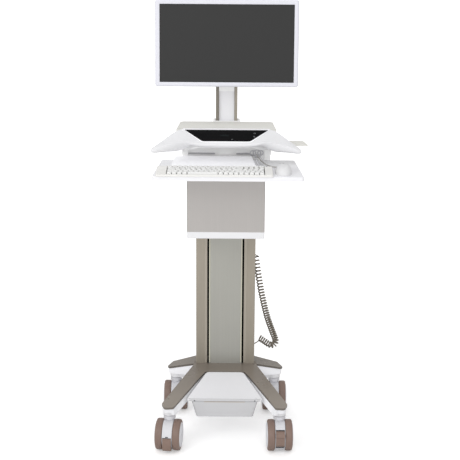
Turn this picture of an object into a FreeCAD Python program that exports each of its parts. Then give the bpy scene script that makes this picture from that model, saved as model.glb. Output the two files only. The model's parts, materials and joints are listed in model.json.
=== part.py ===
import FreeCAD, Part
import math
import os

# Workstation cart for ward use: a four-leg base on twin-wheel casters, a fixed slotted column, and a
# counterbalanced head that carries a worksurface, a keyboard tray, a computer box and a monitor.
# Millimetres, +Z up, -Y is the user's side, +X is the user's right. Drawn about the point on the floor
# midway between the caster axes, then moved by PLAN_SHIFT so the origin is under the middle of the box.

PLAN_SHIFT = (-16.59, 29.5)

# casters
WHEEL_RADIUS = 62.5
TYRE_WIDTH = 29.0
HUB_RADIUS = 49.0
HOOD_WIDTH = 40.0
HOOD_RADIUS = 59.0
HOOD_BOTTOM = 14.0
HUB_CAP_PROUD = 3.0
TRAIL = 20.0
STEM_RADIUS = 8.0
RUNNING_GAP = 0.05
SIDE_GAP = 0.5
SOCKET_RADIUS = 25.0
NECK_RADIUS = 24.0
NECK_BOTTOM = 126.0
SOCKET_BOTTOM = 142.0
SLEEVE_RADIUS = 12.5
FRONT_CASTER = (219.0, -190.0)
REAR_CASTER = (210.0, 207.0)
CASTERS = {
    "front_left": (-FRONT_CASTER[0], FRONT_CASTER[1], -6.5),
    "front_right": (FRONT_CASTER[0], FRONT_CASTER[1], 2.0),
    "rear_left": (-REAR_CASTER[0], REAR_CASTER[1], 0.0),
    "rear_right": (REAR_CASTER[0], REAR_CASTER[1], 0.0),
}

# base
SHELL_BOTTOM = 160.0
COVER_THICK = 8.0
SHELL_WALL = 3.0
SHELL_DRAFT = 4.0
FRAME_BOTTOM = 163.5
FRAME_THICK = 12.0
HUB_TOP = 226.0
LEG_BAR_WIDTH = 24.0

# battery bay
LID_THICK = 6.0
LID_FRONT_Y = -150.0
LID_REAR_Y = 68.0
LID_FRONT_Z = 186.0
LID_SLOPE = 0.1333
TUB_TOP = 177.0
TUB_BOTTOM = 108.0
TUB_WALL = 2.5
CARRIER_BOTTOM = 180.0
CARRIER_THICK = 4.0

# column
COLUMN_HALF = 123.0
COLUMN_FRONT = 150.0
COLUMN_BACK = 236.0
COLUMN_TOP = 1100.0
SLOT_CENTRE = 72.5
SLOT_WIDTH = 7.5
COLUMN_WALL = 3.0
PANEL_THICK = 4.0
CAP_THICK = 8.0

# lift carriage
CARRIAGE_BOTTOM = 860.0
CARRIAGE_TOP = 1000.0
CARRIAGE_Y = (172.0, 196.0)
ARM_THICK = 3.0
BRACKET_Y = (120.0, 126.0)
DRUM_RADIUS = 20.0
DRUM_Z = 1062.0
STRIP_THICK = 0.6

# computer box
BOX_HALF = 152.0
BOX_FRONT = -96.0
BOX_BACK = 120.0
BOX_BOTTOM = 868.0
BOX_TOP = 1115.0
BOX_SHEET = 2.0
TRIM_HEIGHT = 27.0

# keyboard tray
TRAY_TOP = 1139.0
TRAY_THICK = 17.0
TRAY_CENTRE = 8.0
TRAY_FRONT = (-311.0, 281.0)
TRAY_REAR = (-12.0, 259.0)
KEYBOARD_X = (-259.0, 174.0)
KEYBOARD_Y = (-318.0, -204.0)
KEY_PITCH = 19.05
KEY_SIZE = 16.4
KEY_COLUMNS = 19
KEY_ROWS = 5
KEY_LEFT = -219.0
KEY_FRONT = -313.0
MOUSE_CENTRE = (214.5, -243.0)
MOUSE_HALF = (31.0, 53.0, 35.0)

# head
SURFACE_TOP = 1275.0
SURFACE_THICK = 12.0
SURFACE_BACK = (72.0, 178.0)
SURFACE_FRONT = (-100.0, 191.0)
HEAD_BOTTOM = 1219.0
PANEL_TOP_EDGE = (-105.0, 1275.0, 161.0)
PANEL_LOW_EDGE = (-170.0, 1243.0, 90.0)
PANEL_CORNER = 18.0
PANEL_GLASS = 3.0
WING_TIP_X = 283.0
HOUSING_HALF = 175.0
HOUSING_BACK = 112.0
HOUSING_SHEET = 4.0
HOUSING_BOTTOM = 1156.0
PILLAR_Y = 75.0

# side shelf
SHELF_Z = 1210.0
SHELF_THICK = 5.0
SHELF_X = (124.0, 314.0)
SHELF_Y = (-86.0, -6.0)

# monitor post
POST_HALF = 42.5
POST_CHANNEL = 30.7
POST_FRONT = 82.0
POST_BACK = 130.0
POST_TOP = 1690.0

# monitor
MONITOR_WIDTH = 549.0
MONITOR_HEIGHT = 329.5
SCREEN_WIDTH = 514.0
SCREEN_HEIGHT = 294.0
MONITOR_Z = 1584.5
MONITOR_TILT = 6.0
TILT_AXIS_Y = 50.0
PAN_AXIS_Y = 66.0
SLIDER_Z = (1394.0, 1640.0)

# power cord
CORD_RADIUS = 11.0
LEAD_RADIUS = 4.0


def vec(x, y, z):
    return FreeCAD.Vector(x, y, z)


def block(x, y, z):
    """Box between the two limits given for each axis."""
    return Part.makeBox(x[1] - x[0], y[1] - y[0], z[1] - z[0], vec(x[0], y[0], z[0]))


def rod(radius, start, axis, length):
    return Part.makeCylinder(radius, length, vec(*start), vec(*axis))


def fuse(shapes):
    whole = shapes[0]
    if len(shapes) > 1:
        whole = whole.multiFuse(shapes[1:])
    return whole.removeSplitter()


def mirrored(shape):
    """The same shape on the other side of the cart's middle plane."""
    return shape.mirror(vec(0, 0, 0), vec(1, 0, 0))


def both_sides(shape):
    return [shape, mirrored(shape)]


def rounded_wire(corners):
    """Closed wire through (point, radius) corners; a radius of 0 keeps the corner sharp."""
    count = len(corners)
    joints = []
    for i in range(count):
        point, radius = corners[i]
        to_last = (corners[i - 1][0] - point).normalize()
        to_next = (corners[(i + 1) % count][0] - point).normalize()
        half = to_last.getAngle(to_next) / 2
        if radius == 0:
            joints.append((point, point, None))
            continue
        reach = radius / math.tan(half)
        middle = (to_last + to_next).normalize()
        arc_point = point + middle * (radius / math.sin(half) - radius)
        joints.append((point + to_last * reach, point + to_next * reach, arc_point))
    edges = []
    for i in range(count):
        start, end, arc_point = joints[i]
        if arc_point is not None:
            edges.append(Part.Arc(start, arc_point, end).toShape())
        following = joints[(i + 1) % count][0]
        if (following - end).Length > 1e-6:
            edges.append(Part.LineSegment(end, following).toShape())
    return Part.Wire(edges)


def plan_wire(corners, z):
    """Rounded outline at one height, from (x, y, radius) corners."""
    return rounded_wire([(vec(x, y, z), radius) for x, y, radius in corners])


def slab(corners, low, high):
    """Upright prism on a rounded outline."""
    return Part.Face(plan_wire(corners, low)).extrude(vec(0, 0, high - low))


def side_prism(points, x_low, x_high):
    """Prism along X from an outline of (y, z) points."""
    wire = Part.makePolygon([vec(x_low, y, z) for y, z in points + points[:1]])
    return Part.Face(wire).extrude(vec(x_high - x_low, 0, 0))


def front_prism(points, y_low, y_high):
    """Prism along Y from an outline of (x, z) points."""
    wire = Part.makePolygon([vec(x, y_low, z) for x, z in points + points[:1]])
    return Part.Face(wire).extrude(vec(0, y_high - y_low, 0))


def plan_block(x, y, z, radius):
    """Box with rounded upright edges."""
    corners = [(x[0], y[0], radius), (x[1], y[0], radius), (x[1], y[1], radius), (x[0], y[1], radius)]
    return slab(corners, z[0], z[1])


def with_mirror(half):
    """Full outline from its left half, listed front to back along the outside."""
    return half + [(-x, y, radius) for x, y, radius in reversed(half)]


def inset(corners, distance):
    """Outline moved inwards by distance; corners run the same way round as given."""
    count = len(corners)
    area = 0
    for i in range(count):
        x0, y0 = corners[i - 1][:2]
        x1, y1 = corners[i][:2]
        area += x0 * y1 - x1 * y0
    side = 1 if area > 0 else -1
    moved = []
    for i in range(count):
        here = vec(corners[i][0], corners[i][1], 0)
        before = (here - vec(corners[i - 1][0], corners[i - 1][1], 0)).normalize()
        after = (vec(*corners[(i + 1) % count][:2], 0) - here).normalize()
        normal_before = vec(-before.y, before.x, 0) * side
        normal_after = vec(-after.y, after.x, 0) * side
        middle = (normal_before + normal_after).normalize()
        reach = distance / max(middle.dot(normal_before), 0.3)
        moved.append((here.x + middle.x * reach, here.y + middle.y * reach, corners[i][2]))
    return moved


def tapered_slab(corners, low, high, low_inset, high_inset):
    """Prism whose outline is drawn in more at the bottom than at the top."""
    wires = [plan_wire(inset(corners, low_inset), low), plan_wire(inset(corners, high_inset), high)]
    return Part.makeLoft(wires, True, True)


def tube(points, radius):
    """Round cable through the given points."""
    curve = Part.BSplineCurve()
    curve.interpolate([vec(*p) for p in points])
    path = Part.Wire(curve.toShape())
    start_direction = curve.tangent(curve.FirstParameter)[0]
    circle = Part.Wire(Part.makeCircle(radius, vec(*points[0]), start_direction))
    return path.makePipeShell([circle], True, False)


# base ------------------------------------------------------------------------

FRONT_HALF_OUTLINE = [
    (-82.0, 72.0, 10.0),
    (-104.0, 22.0, 30.0),
    (-202.0, -229.0, 12.0),
    (-238.0, -233.0, 12.0),
    (-250.0, -200.0, 20.0),
    (-135.0, 129.0, 0.0),
    (-131.0, 172.0, 0.0),
]
REAR_HALF_OUTLINE = [
    (-131.0, 158.0, 0.0),
    (-237.0, 181.0, 5.0),
    (-246.0, 196.0, 5.0),
    (-224.0, 239.0, 6.0),
    (-125.0, 247.0, 0.0),
]
FRONT_ROOF_Z = 208.0
FRONT_ROOF_SLOPE = 0.098
REAR_ROOF_Z = 219.0
REAR_ROOF_SLOPE = 0.24
REAR_ROOF_X = 125.0
ROOF_REACH = 300.0
ROOF_LOW = 100.0


def front_roof(drop):
    """Everything under the sloping top of the hub and front legs."""
    low_end = FRONT_ROOF_Z - FRONT_ROOF_SLOPE * ROOF_REACH - drop
    high_end = FRONT_ROOF_Z + FRONT_ROOF_SLOPE * ROOF_REACH - drop
    points = [(-ROOF_REACH, ROOF_LOW), (ROOF_REACH, ROOF_LOW), (ROOF_REACH, high_end), (-ROOF_REACH, low_end)]
    return side_prism(points, -ROOF_REACH, ROOF_REACH)


def rear_roof(drop):
    """Everything under the top of the rear legs, which falls away to each side."""
    flat_half = REAR_ROOF_X - (HUB_TOP - REAR_ROOF_Z) / REAR_ROOF_SLOPE
    end_z = REAR_ROOF_Z - REAR_ROOF_SLOPE * (ROOF_REACH - REAR_ROOF_X) - drop
    top_z = HUB_TOP - drop
    points = [
        (-ROOF_REACH, ROOF_LOW),
        (ROOF_REACH, ROOF_LOW),
        (ROOF_REACH, end_z),
        (flat_half, top_z),
        (-flat_half, top_z),
        (-ROOF_REACH, end_z),
    ]
    return front_prism(points, -ROOF_REACH, ROOF_REACH)


def base_block(low, low_inset, high_inset, drop):
    """Solid of the whole base below its top surface, lowered by drop."""
    high = HUB_TOP + 10
    front = tapered_slab(with_mirror(FRONT_HALF_OUTLINE), low, high, low_inset, high_inset)
    rear = tapered_slab(with_mirror(REAR_HALF_OUTLINE), low, high, low_inset, high_inset)
    return fuse([front.common(front_roof(drop)), rear.common(rear_roof(drop))])


def column_opening(gap):
    return block(
        (-COLUMN_HALF - gap, COLUMN_HALF + gap),
        (COLUMN_FRONT - gap, COLUMN_BACK + gap),
        (FRAME_BOTTOM + FRAME_THICK, HUB_TOP + 20),
    )


def base_cover():
    """Top covers of the hub and the four legs."""
    whole = base_block(SHELL_BOTTOM, 0, 0, 0)
    under = base_block(SHELL_BOTTOM - 5, -1, -1, COVER_THICK)
    return whole.cut(under).cut(column_opening(0.3))


def base_shell():
    """Lower moulding that hides the frame, open at the top under the cover."""
    outer = base_block(SHELL_BOTTOM, SHELL_DRAFT, 1.2, COVER_THICK)
    inner = base_block(SHELL_BOTTOM + SHELL_WALL, SHELL_DRAFT + SHELL_WALL, 1.2 + SHELL_WALL, -20)
    hub_room = block((-119, 119), (108, 234), (SHELL_BOTTOM + SHELL_WALL, HUB_TOP + 12))
    holes = [rod(SLEEVE_RADIUS + 1, (x, y, SHELL_BOTTOM - 5), (0, 0, 1), 20) for x, y, yaw in CASTERS.values()]
    carrier_room = block((-51, 51), (60, 90), (CARRIER_BOTTOM - 1, CARRIER_BOTTOM + CARRIER_THICK + 1))
    return outer.cut(inner).cut(fuse([hub_room, carrier_room] + holes)).cut(column_opening(0.3))


def leg_bar(start, end):
    """Flat bar of the frame from the hub out to a caster socket."""
    along = (vec(end[0], end[1], 0) - vec(start[0], start[1], 0)).normalize()
    across = vec(-along.y, along.x, 0) * (LEG_BAR_WIDTH / 2)
    low = FRAME_BOTTOM
    corners = [vec(*start, low) + across, vec(*start, low) - across, vec(*end, low) - across, vec(*end, low) + across]
    bar = Part.Face(Part.makePolygon(corners + corners[:1])).extrude(vec(0, 0, FRAME_THICK))
    eye = rod(SLEEVE_RADIUS + 0.6, (*end, low), (0, 0, 1), FRAME_THICK)
    return bar.fuse(eye)


def base_frame():
    """Steel frame: hub plate, four leg bars and the raised carrier that holds the battery lid."""
    top = FRAME_BOTTOM + FRAME_THICK
    hub = block((-112, 112), (112, 232), (FRAME_BOTTOM, top))
    front = leg_bar((96, 130), FRONT_CASTER)
    rear = leg_bar((96, 205), REAR_CASTER)
    riser = block((-50, 50), (112, 122), (top, CARRIER_BOTTOM + CARRIER_THICK))
    carrier = block((-50, 50), (10, 122), (CARRIER_BOTTOM, CARRIER_BOTTOM + CARRIER_THICK))
    frame = fuse([hub, riser, carrier] + both_sides(front) + both_sides(rear))
    bores = [rod(SLEEVE_RADIUS, (x, y, FRAME_BOTTOM - 1), (0, 0, 1), FRAME_THICK + 2) for x, y, yaw in CASTERS.values()]
    return frame.cut(fuse(bores))


def caster_socket(x, y):
    """Round socket that takes a caster stem; the wide collar shows under the leg tip."""
    collar = rod(SOCKET_RADIUS, (x, y, SOCKET_BOTTOM), (0, 0, 1), SHELL_BOTTOM - SOCKET_BOTTOM)
    collar = collar.makeFillet(2.5, [collar.Edges[0], collar.Edges[2]])
    sleeve = rod(SLEEVE_RADIUS, (x, y, SHELL_BOTTOM - 2), (0, 0, 1), FRAME_BOTTOM + FRAME_THICK - SHELL_BOTTOM + 2)
    bore = rod(STEM_RADIUS + RUNNING_GAP, (x, y, SOCKET_BOTTOM - 1), (0, 0, 1), 32)
    return collar.fuse(sleeve).removeSplitter().cut(bore)


def caster_sockets():
    return Part.makeCompound([caster_socket(x, y) for x, y, yaw in CASTERS.values()])


def lid_z(y):
    return LID_FRONT_Z + LID_SLOPE * (y - LID_FRONT_Y)


def under_lid(drop):
    """Everything below the lid's sloping top, lowered by drop."""
    points = [(-200, 50), (120, 50), (120, lid_z(120) - drop), (-200, lid_z(-200) - drop)]
    return side_prism(points, -200, 200)


LID_OUTLINE = [
    (-76.0, LID_REAR_Y, 18.0),
    (-153.0, LID_FRONT_Y, 8.0),
    (153.0, LID_FRONT_Y, 8.0),
    (76.0, LID_REAR_Y, 18.0),
]


def battery_lid():
    """Fixed sloping lid over the battery drawer, screwed to the carrier on four short bosses."""
    plan = slab(LID_OUTLINE, 150, 240)
    lid = plan.common(under_lid(0)).cut(under_lid(LID_THICK))
    bosses = []
    for y in (20, 55):
        reach = lid_z(y) - LID_THICK / 2 - CARRIER_BOTTOM - CARRIER_THICK
        boss = rod(6, (35, y, CARRIER_BOTTOM + CARRIER_THICK), (0, 0, 1), reach)
        bosses += both_sides(boss)
    holes = [rod(2.6, (x, LID_FRONT_Y + 9, 150), (0, 0, 1), 60) for x in (-127, 127)]
    return fuse([lid] + bosses).cut(fuse(holes))


def lid_screws():
    """Two screws near the lid's front corners."""
    screws = []
    for x in (-127, 127):
        y = LID_FRONT_Y + 9
        shank = rod(2.5, (x, y, lid_z(y) - 5.5), (0, 0, 1), 5.5)
        head = rod(4.2, (x, y, lid_z(y) + 0.7), (0, 0, 1), 1.6)
        neck = rod(2.5, (x, y, lid_z(y) - 1), (0, 0, 1), 2)
        screws.append(shank.fuse([head, neck]).removeSplitter())
    return Part.makeCompound(screws)


TUB_TOP_OUTLINE = [(-73.0, 58.0, 14.0), (-137.0, LID_FRONT_Y, 10.0), (137.0, LID_FRONT_Y, 10.0), (73.0, 58.0, 14.0)]
TUB_LOW_OUTLINE = [(-60.0, 48.0, 14.0), (-118.0, -141.0, 10.0), (118.0, -141.0, 10.0), (60.0, 48.0, 14.0)]


def battery_tub():
    """Drawer that holds the battery, with a finger slot under its front lip."""
    outer = Part.makeLoft([plan_wire(TUB_LOW_OUTLINE, TUB_BOTTOM), plan_wire(TUB_TOP_OUTLINE, TUB_TOP)], True, True)
    low = plan_wire(inset(TUB_LOW_OUTLINE, TUB_WALL), TUB_BOTTOM + TUB_WALL)
    high = plan_wire(inset(TUB_TOP_OUTLINE, TUB_WALL), TUB_TOP + 0.5)
    inner = Part.makeLoft([low, high], True, True)
    slot = front_prism([(-86, TUB_TOP + 1), (86, TUB_TOP + 1), (80, TUB_TOP - 3), (-80, TUB_TOP - 3)], -160, -140)
    return outer.cut(inner).cut(slot)


def battery_pack():
    return plan_block((-70, 70), (-130, -10), (TUB_BOTTOM + TUB_WALL, TUB_BOTTOM + 56), 6)


# column ----------------------------------------------------------------------


def column_sides():
    """Left and right hollow extrusions; the lift slots are the gaps between them and the middle panel."""
    inner_x = SLOT_CENTRE + SLOT_WIDTH / 2
    z = (FRAME_BOTTOM + FRAME_THICK, COLUMN_TOP)
    outer = plan_block((inner_x, COLUMN_HALF), (COLUMN_FRONT, COLUMN_BACK), z, 3)
    hollow = block(
        (inner_x + COLUMN_WALL, COLUMN_HALF - COLUMN_WALL),
        (COLUMN_FRONT + COLUMN_WALL, COLUMN_BACK - COLUMN_WALL),
        (z[0] - 1, z[1] + 1),
    )
    return Part.makeCompound(both_sides(outer.cut(hollow)))


def column_panel():
    """Middle front panel between the slots, with shallow full-height grooves."""
    half = SLOT_CENTRE - SLOT_WIDTH / 2
    z = (FRAME_BOTTOM + FRAME_THICK, COLUMN_TOP)
    panel = block((-half, half), (COLUMN_FRONT, COLUMN_FRONT + PANEL_THICK), z)
    grooves = [block((x - 0.5, x + 0.5), (COLUMN_FRONT - 1, COLUMN_FRONT + 0.6), z) for x in (-62, 62)]
    ribs = [block((x - 2, x + 2), (COLUMN_FRONT + PANEL_THICK, COLUMN_FRONT + 12), z) for x in (-30, 30)]
    return fuse([panel] + ribs).cut(fuse(grooves))


def column_back():
    half = SLOT_CENTRE + SLOT_WIDTH / 2 - 0.2
    return block((-half, half), (COLUMN_BACK - 3, COLUMN_BACK), (FRAME_BOTTOM + FRAME_THICK, COLUMN_TOP))


def column_cap():
    """Moulded cap that ties the tops of the extrusions and panels together."""
    cap = plan_block((-COLUMN_HALF, COLUMN_HALF), (COLUMN_FRONT, COLUMN_BACK), (COLUMN_TOP, COLUMN_TOP + CAP_THICK), 6)
    return cap.makeFillet(2.5, [e for e in cap.Edges if e.BoundBox.ZMin > COLUMN_TOP + CAP_THICK - 0.1])


def spring_drums():
    """Two spring drums on a cross pin near the column's top, and the pin's end plates."""
    y = (CARRIAGE_Y[0] + CARRIAGE_Y[1]) / 2
    half = SLOT_CENTRE + SLOT_WIDTH / 2 - 0.2
    pin = rod(5, (-half, y, DRUM_Z), (1, 0, 0), 2 * half)
    drums = [rod(DRUM_RADIUS, (x, y, DRUM_Z), (1, 0, 0), 36) for x in (-52, 16)]
    return fuse([pin] + drums)


def lift_carriage():
    """Inner carriage, its two arms through the slots and the outer bracket that bolts to the head."""
    half = SLOT_CENTRE + SLOT_WIDTH / 2 - SIDE_GAP
    z = (CARRIAGE_BOTTOM, CARRIAGE_TOP)
    carriage = block((-half, half), CARRIAGE_Y, z)
    relief = block((-40, 40), (CARRIAGE_Y[0] - 1, CARRIAGE_Y[0] + 14), (z[0] + 20, z[1] - 20))
    arm_x = (SLOT_CENTRE - ARM_THICK / 2, SLOT_CENTRE + ARM_THICK / 2)
    arm = block(arm_x, (BRACKET_Y[1] - 1, CARRIAGE_Y[0] + 1), z)
    bracket = plan_block((-100, 100), (0, BRACKET_Y[1] - BRACKET_Y[0]), (z[0] - 10, z[1] + 60), 1)
    bracket.translate(vec(0, BRACKET_Y[0], 0))
    return fuse([carriage.cut(relief), bracket] + both_sides(arm))


def spring_strips():
    """Flat steel strips that run from the drums down to the carriage."""
    y = (CARRIAGE_Y[0] + CARRIAGE_Y[1]) / 2 - DRUM_RADIUS - 0.3
    strips = [block((x, x + 30), (y - STRIP_THICK, y), (CARRIAGE_TOP - 6, DRUM_Z)) for x in (-49, 19)]
    return Part.makeCompound(strips)


# power -----------------------------------------------------------------------


def power_module():
    """Charger box low on the back of the column, with the cord inlet on its right side."""
    body = plan_block((-60, 108), (COLUMN_BACK, COLUMN_BACK + 14), (250, 330), 4)
    hook_arm = block((100, 116), (COLUMN_BACK, COLUMN_BACK + 10), (662, 694))
    return Part.makeCompound([body, hook_arm])


CORD_PATH = [
    (128.0, 680.0),
    (138.0, 600.0),
    (152.0, 500.0),
    (176.0, 400.0),
    (202.0, 330.0),
    (219.0, 292.0),
    (217.0, 270.0),
    (197.0, 265.0),
    (170.0, 285.0),
    (140.0, 304.0),
]
CORD_Y = COLUMN_BACK + 12.0


def power_cord():
    """Outer form of the coiled cord that hangs beside the column."""
    coil = tube([(x, CORD_Y, z) for x, z in CORD_PATH], CORD_RADIUS)
    return coil


# head ------------------------------------------------------------------------


def worksurface():
    """Flat top plate."""
    back_y, back_half = SURFACE_BACK
    front_y, front_half = SURFACE_FRONT
    corners = [
        (-back_half - 4, back_y - 12, 4.0),
        (-front_half, front_y, 3.0),
        (front_half, front_y, 3.0),
        (back_half + 4, back_y - 12, 4.0),
        (back_half - 8, back_y, 4.0),
        (-back_half + 8, back_y, 4.0),
    ]
    return slab(corners, SURFACE_TOP - SURFACE_THICK, SURFACE_TOP)


# outline of the right grip at stations along X, as (y, z): rear edge, crease, nose, lip, underside, inner corner
WING_SECTIONS = {
    105.0: [(-101, 1275), (-150, 1252), (-180, 1237), (-183, 1230), (-172, 1220), (-101, 1219)],
    143.0: [(-101, 1275), (-140, 1258), (-173, 1246), (-172, 1236), (-150, 1220), (-101, 1219)],
    177.0: [(-101, 1274), (-140, 1257), (-178, 1240), (-172, 1222), (-150, 1206), (-104, 1232)],
    205.0: [(-119, 1262), (-150, 1249), (-186, 1235), (-182, 1216), (-160, 1206), (-122, 1240)],
    235.0: [(-144, 1244), (-165, 1238), (-192, 1230), (-190, 1214), (-170, 1209), (-147, 1231)],
    262.0: [(-167, 1228), (-180, 1226), (-197, 1221), (-195, 1209), (-180, 1206), (-170, 1217)],
    WING_TIP_X - 3: [(-180, 1219), (-186, 1218), (-193, 1214), (-191, 1208), (-185, 1207), (-181, 1211)],
}


def head_wing():
    """Right-hand grip: the body's sloping front drawn out, forward and down to a rounded tip."""
    wires = []
    for x, rows in WING_SECTIONS.items():
        wires.append(Part.makePolygon([vec(x, y, z) for y, z in rows + rows[:1]]))
    return Part.makeLoft(wires, True, True)


def panel_solid(depth, margin):
    """Sloping plate for the touch panel: depth below the face, grown by margin all round."""
    top_y, top_z, top_half = PANEL_TOP_EDGE
    low_y, low_z, low_half = PANEL_LOW_EDGE
    slope = vec(0, low_y - top_y, low_z - top_z)
    normal = vec(0, slope.z, -slope.y).normalize()
    if normal.z < 0:
        normal = normal * -1
    slope.normalize()
    top = vec(0, top_y, top_z) - slope * margin
    low = vec(0, low_y, low_z) + slope * margin
    corners = [
        (top - vec(top_half + margin, 0, 0), 2.0),
        (low - vec(low_half + margin, 0, 0), PANEL_CORNER),
        (low + vec(low_half + margin, 0, 0), PANEL_CORNER),
        (top + vec(top_half + margin, 0, 0), 2.0),
    ]
    return Part.Face(rounded_wire(corners)).extrude(normal * -depth)


HEAD_OUTLINE = [(-178.0, 68.0, 4.0), (-178.0, -60.0, 20.0), (-150.0, -110.0, 0.0), (-105.0, -185.0, 0.0)]


def head_shell():
    """White body of the head: a shallow housing under the worksurface, sloping front and two grips."""
    under_surface = SURFACE_TOP - SURFACE_THICK
    profile = [
        (-101, SURFACE_TOP),
        (-104, SURFACE_TOP),
        (-170, 1243),
        (-182, 1234),
        (-184, 1228),
        (-176, HEAD_BOTTOM),
        (68, HEAD_BOTTOM),
        (68, under_surface),
        (-101, under_surface),
    ]
    body = side_prism(profile, -HOUSING_HALF - 3, HOUSING_HALF + 3).common(
        slab(with_mirror(HEAD_OUTLINE), HEAD_BOTTOM, SURFACE_TOP)
    )
    whole = fuse([body] + both_sides(head_wing()))
    cavity = block((-140, 140), (-90, 60), (HEAD_BOTTOM + 6, under_surface + 1))
    return whole.cut(cavity).cut(panel_solid(PANEL_GLASS, 0.2)).cut(worksurface())


def touch_panel():
    return panel_solid(PANEL_GLASS - 0.2, 0)


def side_housing():
    """Grey bay under the head: open at the front, standing on two short pillars on the box."""
    sheet = HOUSING_SHEET
    top = block((-HOUSING_HALF, HOUSING_HALF), (0, POST_BACK + 4), (HEAD_BOTTOM - sheet, HEAD_BOTTOM))
    wall = block((HOUSING_HALF - sheet, HOUSING_HALF), (0, HOUSING_BACK), (HOUSING_BOTTOM, HEAD_BOTTOM))
    back = block((-HOUSING_HALF, HOUSING_HALF), (HOUSING_BACK - sheet, HOUSING_BACK), (BOX_TOP, HEAD_BOTTOM))
    pillar = block((BOX_HALF, HOUSING_HALF), (PILLAR_Y, HOUSING_BACK), (BOX_TOP, HEAD_BOTTOM))
    foot = block((BOX_HALF - 30, HOUSING_HALF), (PILLAR_Y, HOUSING_BACK), (BOX_TOP, BOX_TOP + 5))
    return fuse([top, back] + both_sides(wall) + both_sides(pillar) + both_sides(foot))


def computer_box():
    """Folded sheet box that holds the computer, open at the bottom."""
    outer = plan_block((-BOX_HALF, BOX_HALF), (BOX_FRONT, BOX_BACK), (BOX_BOTTOM, BOX_TOP), 5)
    inner = plan_block(
        (-BOX_HALF + BOX_SHEET, BOX_HALF - BOX_SHEET),
        (BOX_FRONT + BOX_SHEET, BOX_BACK - BOX_SHEET),
        (BOX_BOTTOM - 1, BOX_TOP - BOX_SHEET),
        3,
    )
    return outer.cut(inner)


def box_trim():
    """Moulded white pan that closes the box's underside."""
    low = BOX_BOTTOM - TRIM_HEIGHT
    outer = plan_block((-BOX_HALF, BOX_HALF), (BOX_FRONT, BOX_BACK), (low, BOX_BOTTOM), 6)
    outer = outer.makeFillet(4, [e for e in outer.Edges if e.BoundBox.ZMax < low + 0.1])
    hollow = plan_block((-BOX_HALF + 4, BOX_HALF - 4), (BOX_FRONT + 4, BOX_BACK - 4), (low + 4, BOX_BOTTOM + 1), 3)
    return outer.cut(hollow)


def thin_client():
    """Computer standing on the trim pan."""
    low = BOX_BOTTOM - TRIM_HEIGHT + 4
    return plan_block((-60, -5), (-70, 100), (low, low + 190), 4)


def post_rails():
    """Extruded monitor post: two side rails joined by a web."""
    rail = plan_block((POST_CHANNEL, POST_HALF), (POST_FRONT, POST_BACK), (HEAD_BOTTOM, POST_TOP), 2.5)
    web = block((-POST_CHANNEL - 1, POST_CHANNEL + 1), (100, 104), (HEAD_BOTTOM, POST_TOP))
    return fuse([web] + both_sides(rail))


def post_cover():
    """White strip that closes the channel between the rails."""
    half = POST_CHANNEL - 0.3
    return block((-half, half), (93, 100), (HEAD_BOTTOM, POST_TOP - 2))


def post_foot():
    """Collar where the post passes the worksurface."""
    gap = 0.3
    top = SURFACE_TOP + 2
    collar = plan_block((-53, 53), (POST_FRONT - 9, POST_BACK + 6), (HEAD_BOTTOM, top), 6)
    opening = block(
        (-POST_HALF - gap, POST_HALF + gap),
        (POST_FRONT - gap, POST_BACK + gap),
        (HEAD_BOTTOM - 1, top + 1),
    )
    return collar.cut(opening)


def tray_rails():
    """Two low rails on the box's top that guide the keyboard tray."""
    rail = block((96, 118), (BOX_FRONT + 6, PILLAR_Y - 4), (BOX_TOP, TRAY_TOP - TRAY_THICK - 0.2))
    return Part.makeCompound(both_sides(rail))


def cable_bundle():
    """Coiled spare cable and plugs stowed in the bay."""
    loops = []
    for step in range(3):
        radius = 17.0 + 2 * step
        centre = vec(108 + 9 * step, 60 + 13 * step, 1181)
        loop = Part.makeTorus(radius, 2.5, centre, vec(0.25 * step - 0.2, 1, 0.15))
        loops.append(loop)
    return Part.makeCompound(loops)


# keyboard tray ---------------------------------------------------------------


def keyboard_tray():
    front_y, front_half = TRAY_FRONT
    rear_y, rear_half = TRAY_REAR
    corners = [
        (TRAY_CENTRE - rear_half, rear_y, 10.0),
        (TRAY_CENTRE - front_half, front_y, 10.0),
        (TRAY_CENTRE + front_half, front_y, 10.0),
        (TRAY_CENTRE + rear_half, rear_y, 10.0),
    ]
    tray = slab(corners, TRAY_TOP - TRAY_THICK, TRAY_TOP)
    return tray.makeFillet(2.5, [e for e in tray.Edges if e.BoundBox.ZMin > TRAY_TOP - 0.1])


def tray_riser():
    """Raised panel on the tray behind the keyboard."""
    corners = [(-198.0, -6.0, 5.0), (-209.0, -200.0, 5.0), (114.0, -200.0, 5.0), (99.0, -6.0, 5.0)]
    return slab(corners, TRAY_TOP, TRAY_TOP + 13)


def keyboard_case():
    """Wedge-shaped keyboard body, its well cut out for the keys."""
    y0, y1 = KEYBOARD_Y
    low = TRAY_TOP
    profile = [(y0, low), (y1, low), (y1, low + 17), (y0 + 6, low + 10), (y0, low + 6)]
    case = side_prism(profile, KEYBOARD_X[0], KEYBOARD_X[1])
    well_x = (KEY_LEFT - 2, KEY_LEFT + KEY_COLUMNS * KEY_PITCH + 1)
    well = block(well_x, (KEY_FRONT + 4, KEY_FRONT + 7 + KEY_ROWS * KEY_PITCH), (low + 6, low + 30))
    return case.cut(well)


def keyboard_keys():
    """Keycaps in rows, each row a little higher than the one in front."""
    keys = []
    for row in range(KEY_ROWS):
        y = KEY_FRONT + 6 + row * KEY_PITCH
        top = TRAY_TOP + 14.5 + 1.3 * row
        column = 0
        while column < KEY_COLUMNS:
            span = 6 if row == 0 and column == 4 else 1
            x = KEY_LEFT + column * KEY_PITCH
            width = KEY_SIZE + (span - 1) * KEY_PITCH
            keys.append(block((x, x + width), (y, y + KEY_SIZE), (TRAY_TOP + 6.3, top)))
            column += span
    return Part.makeCompound(keys)


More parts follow.
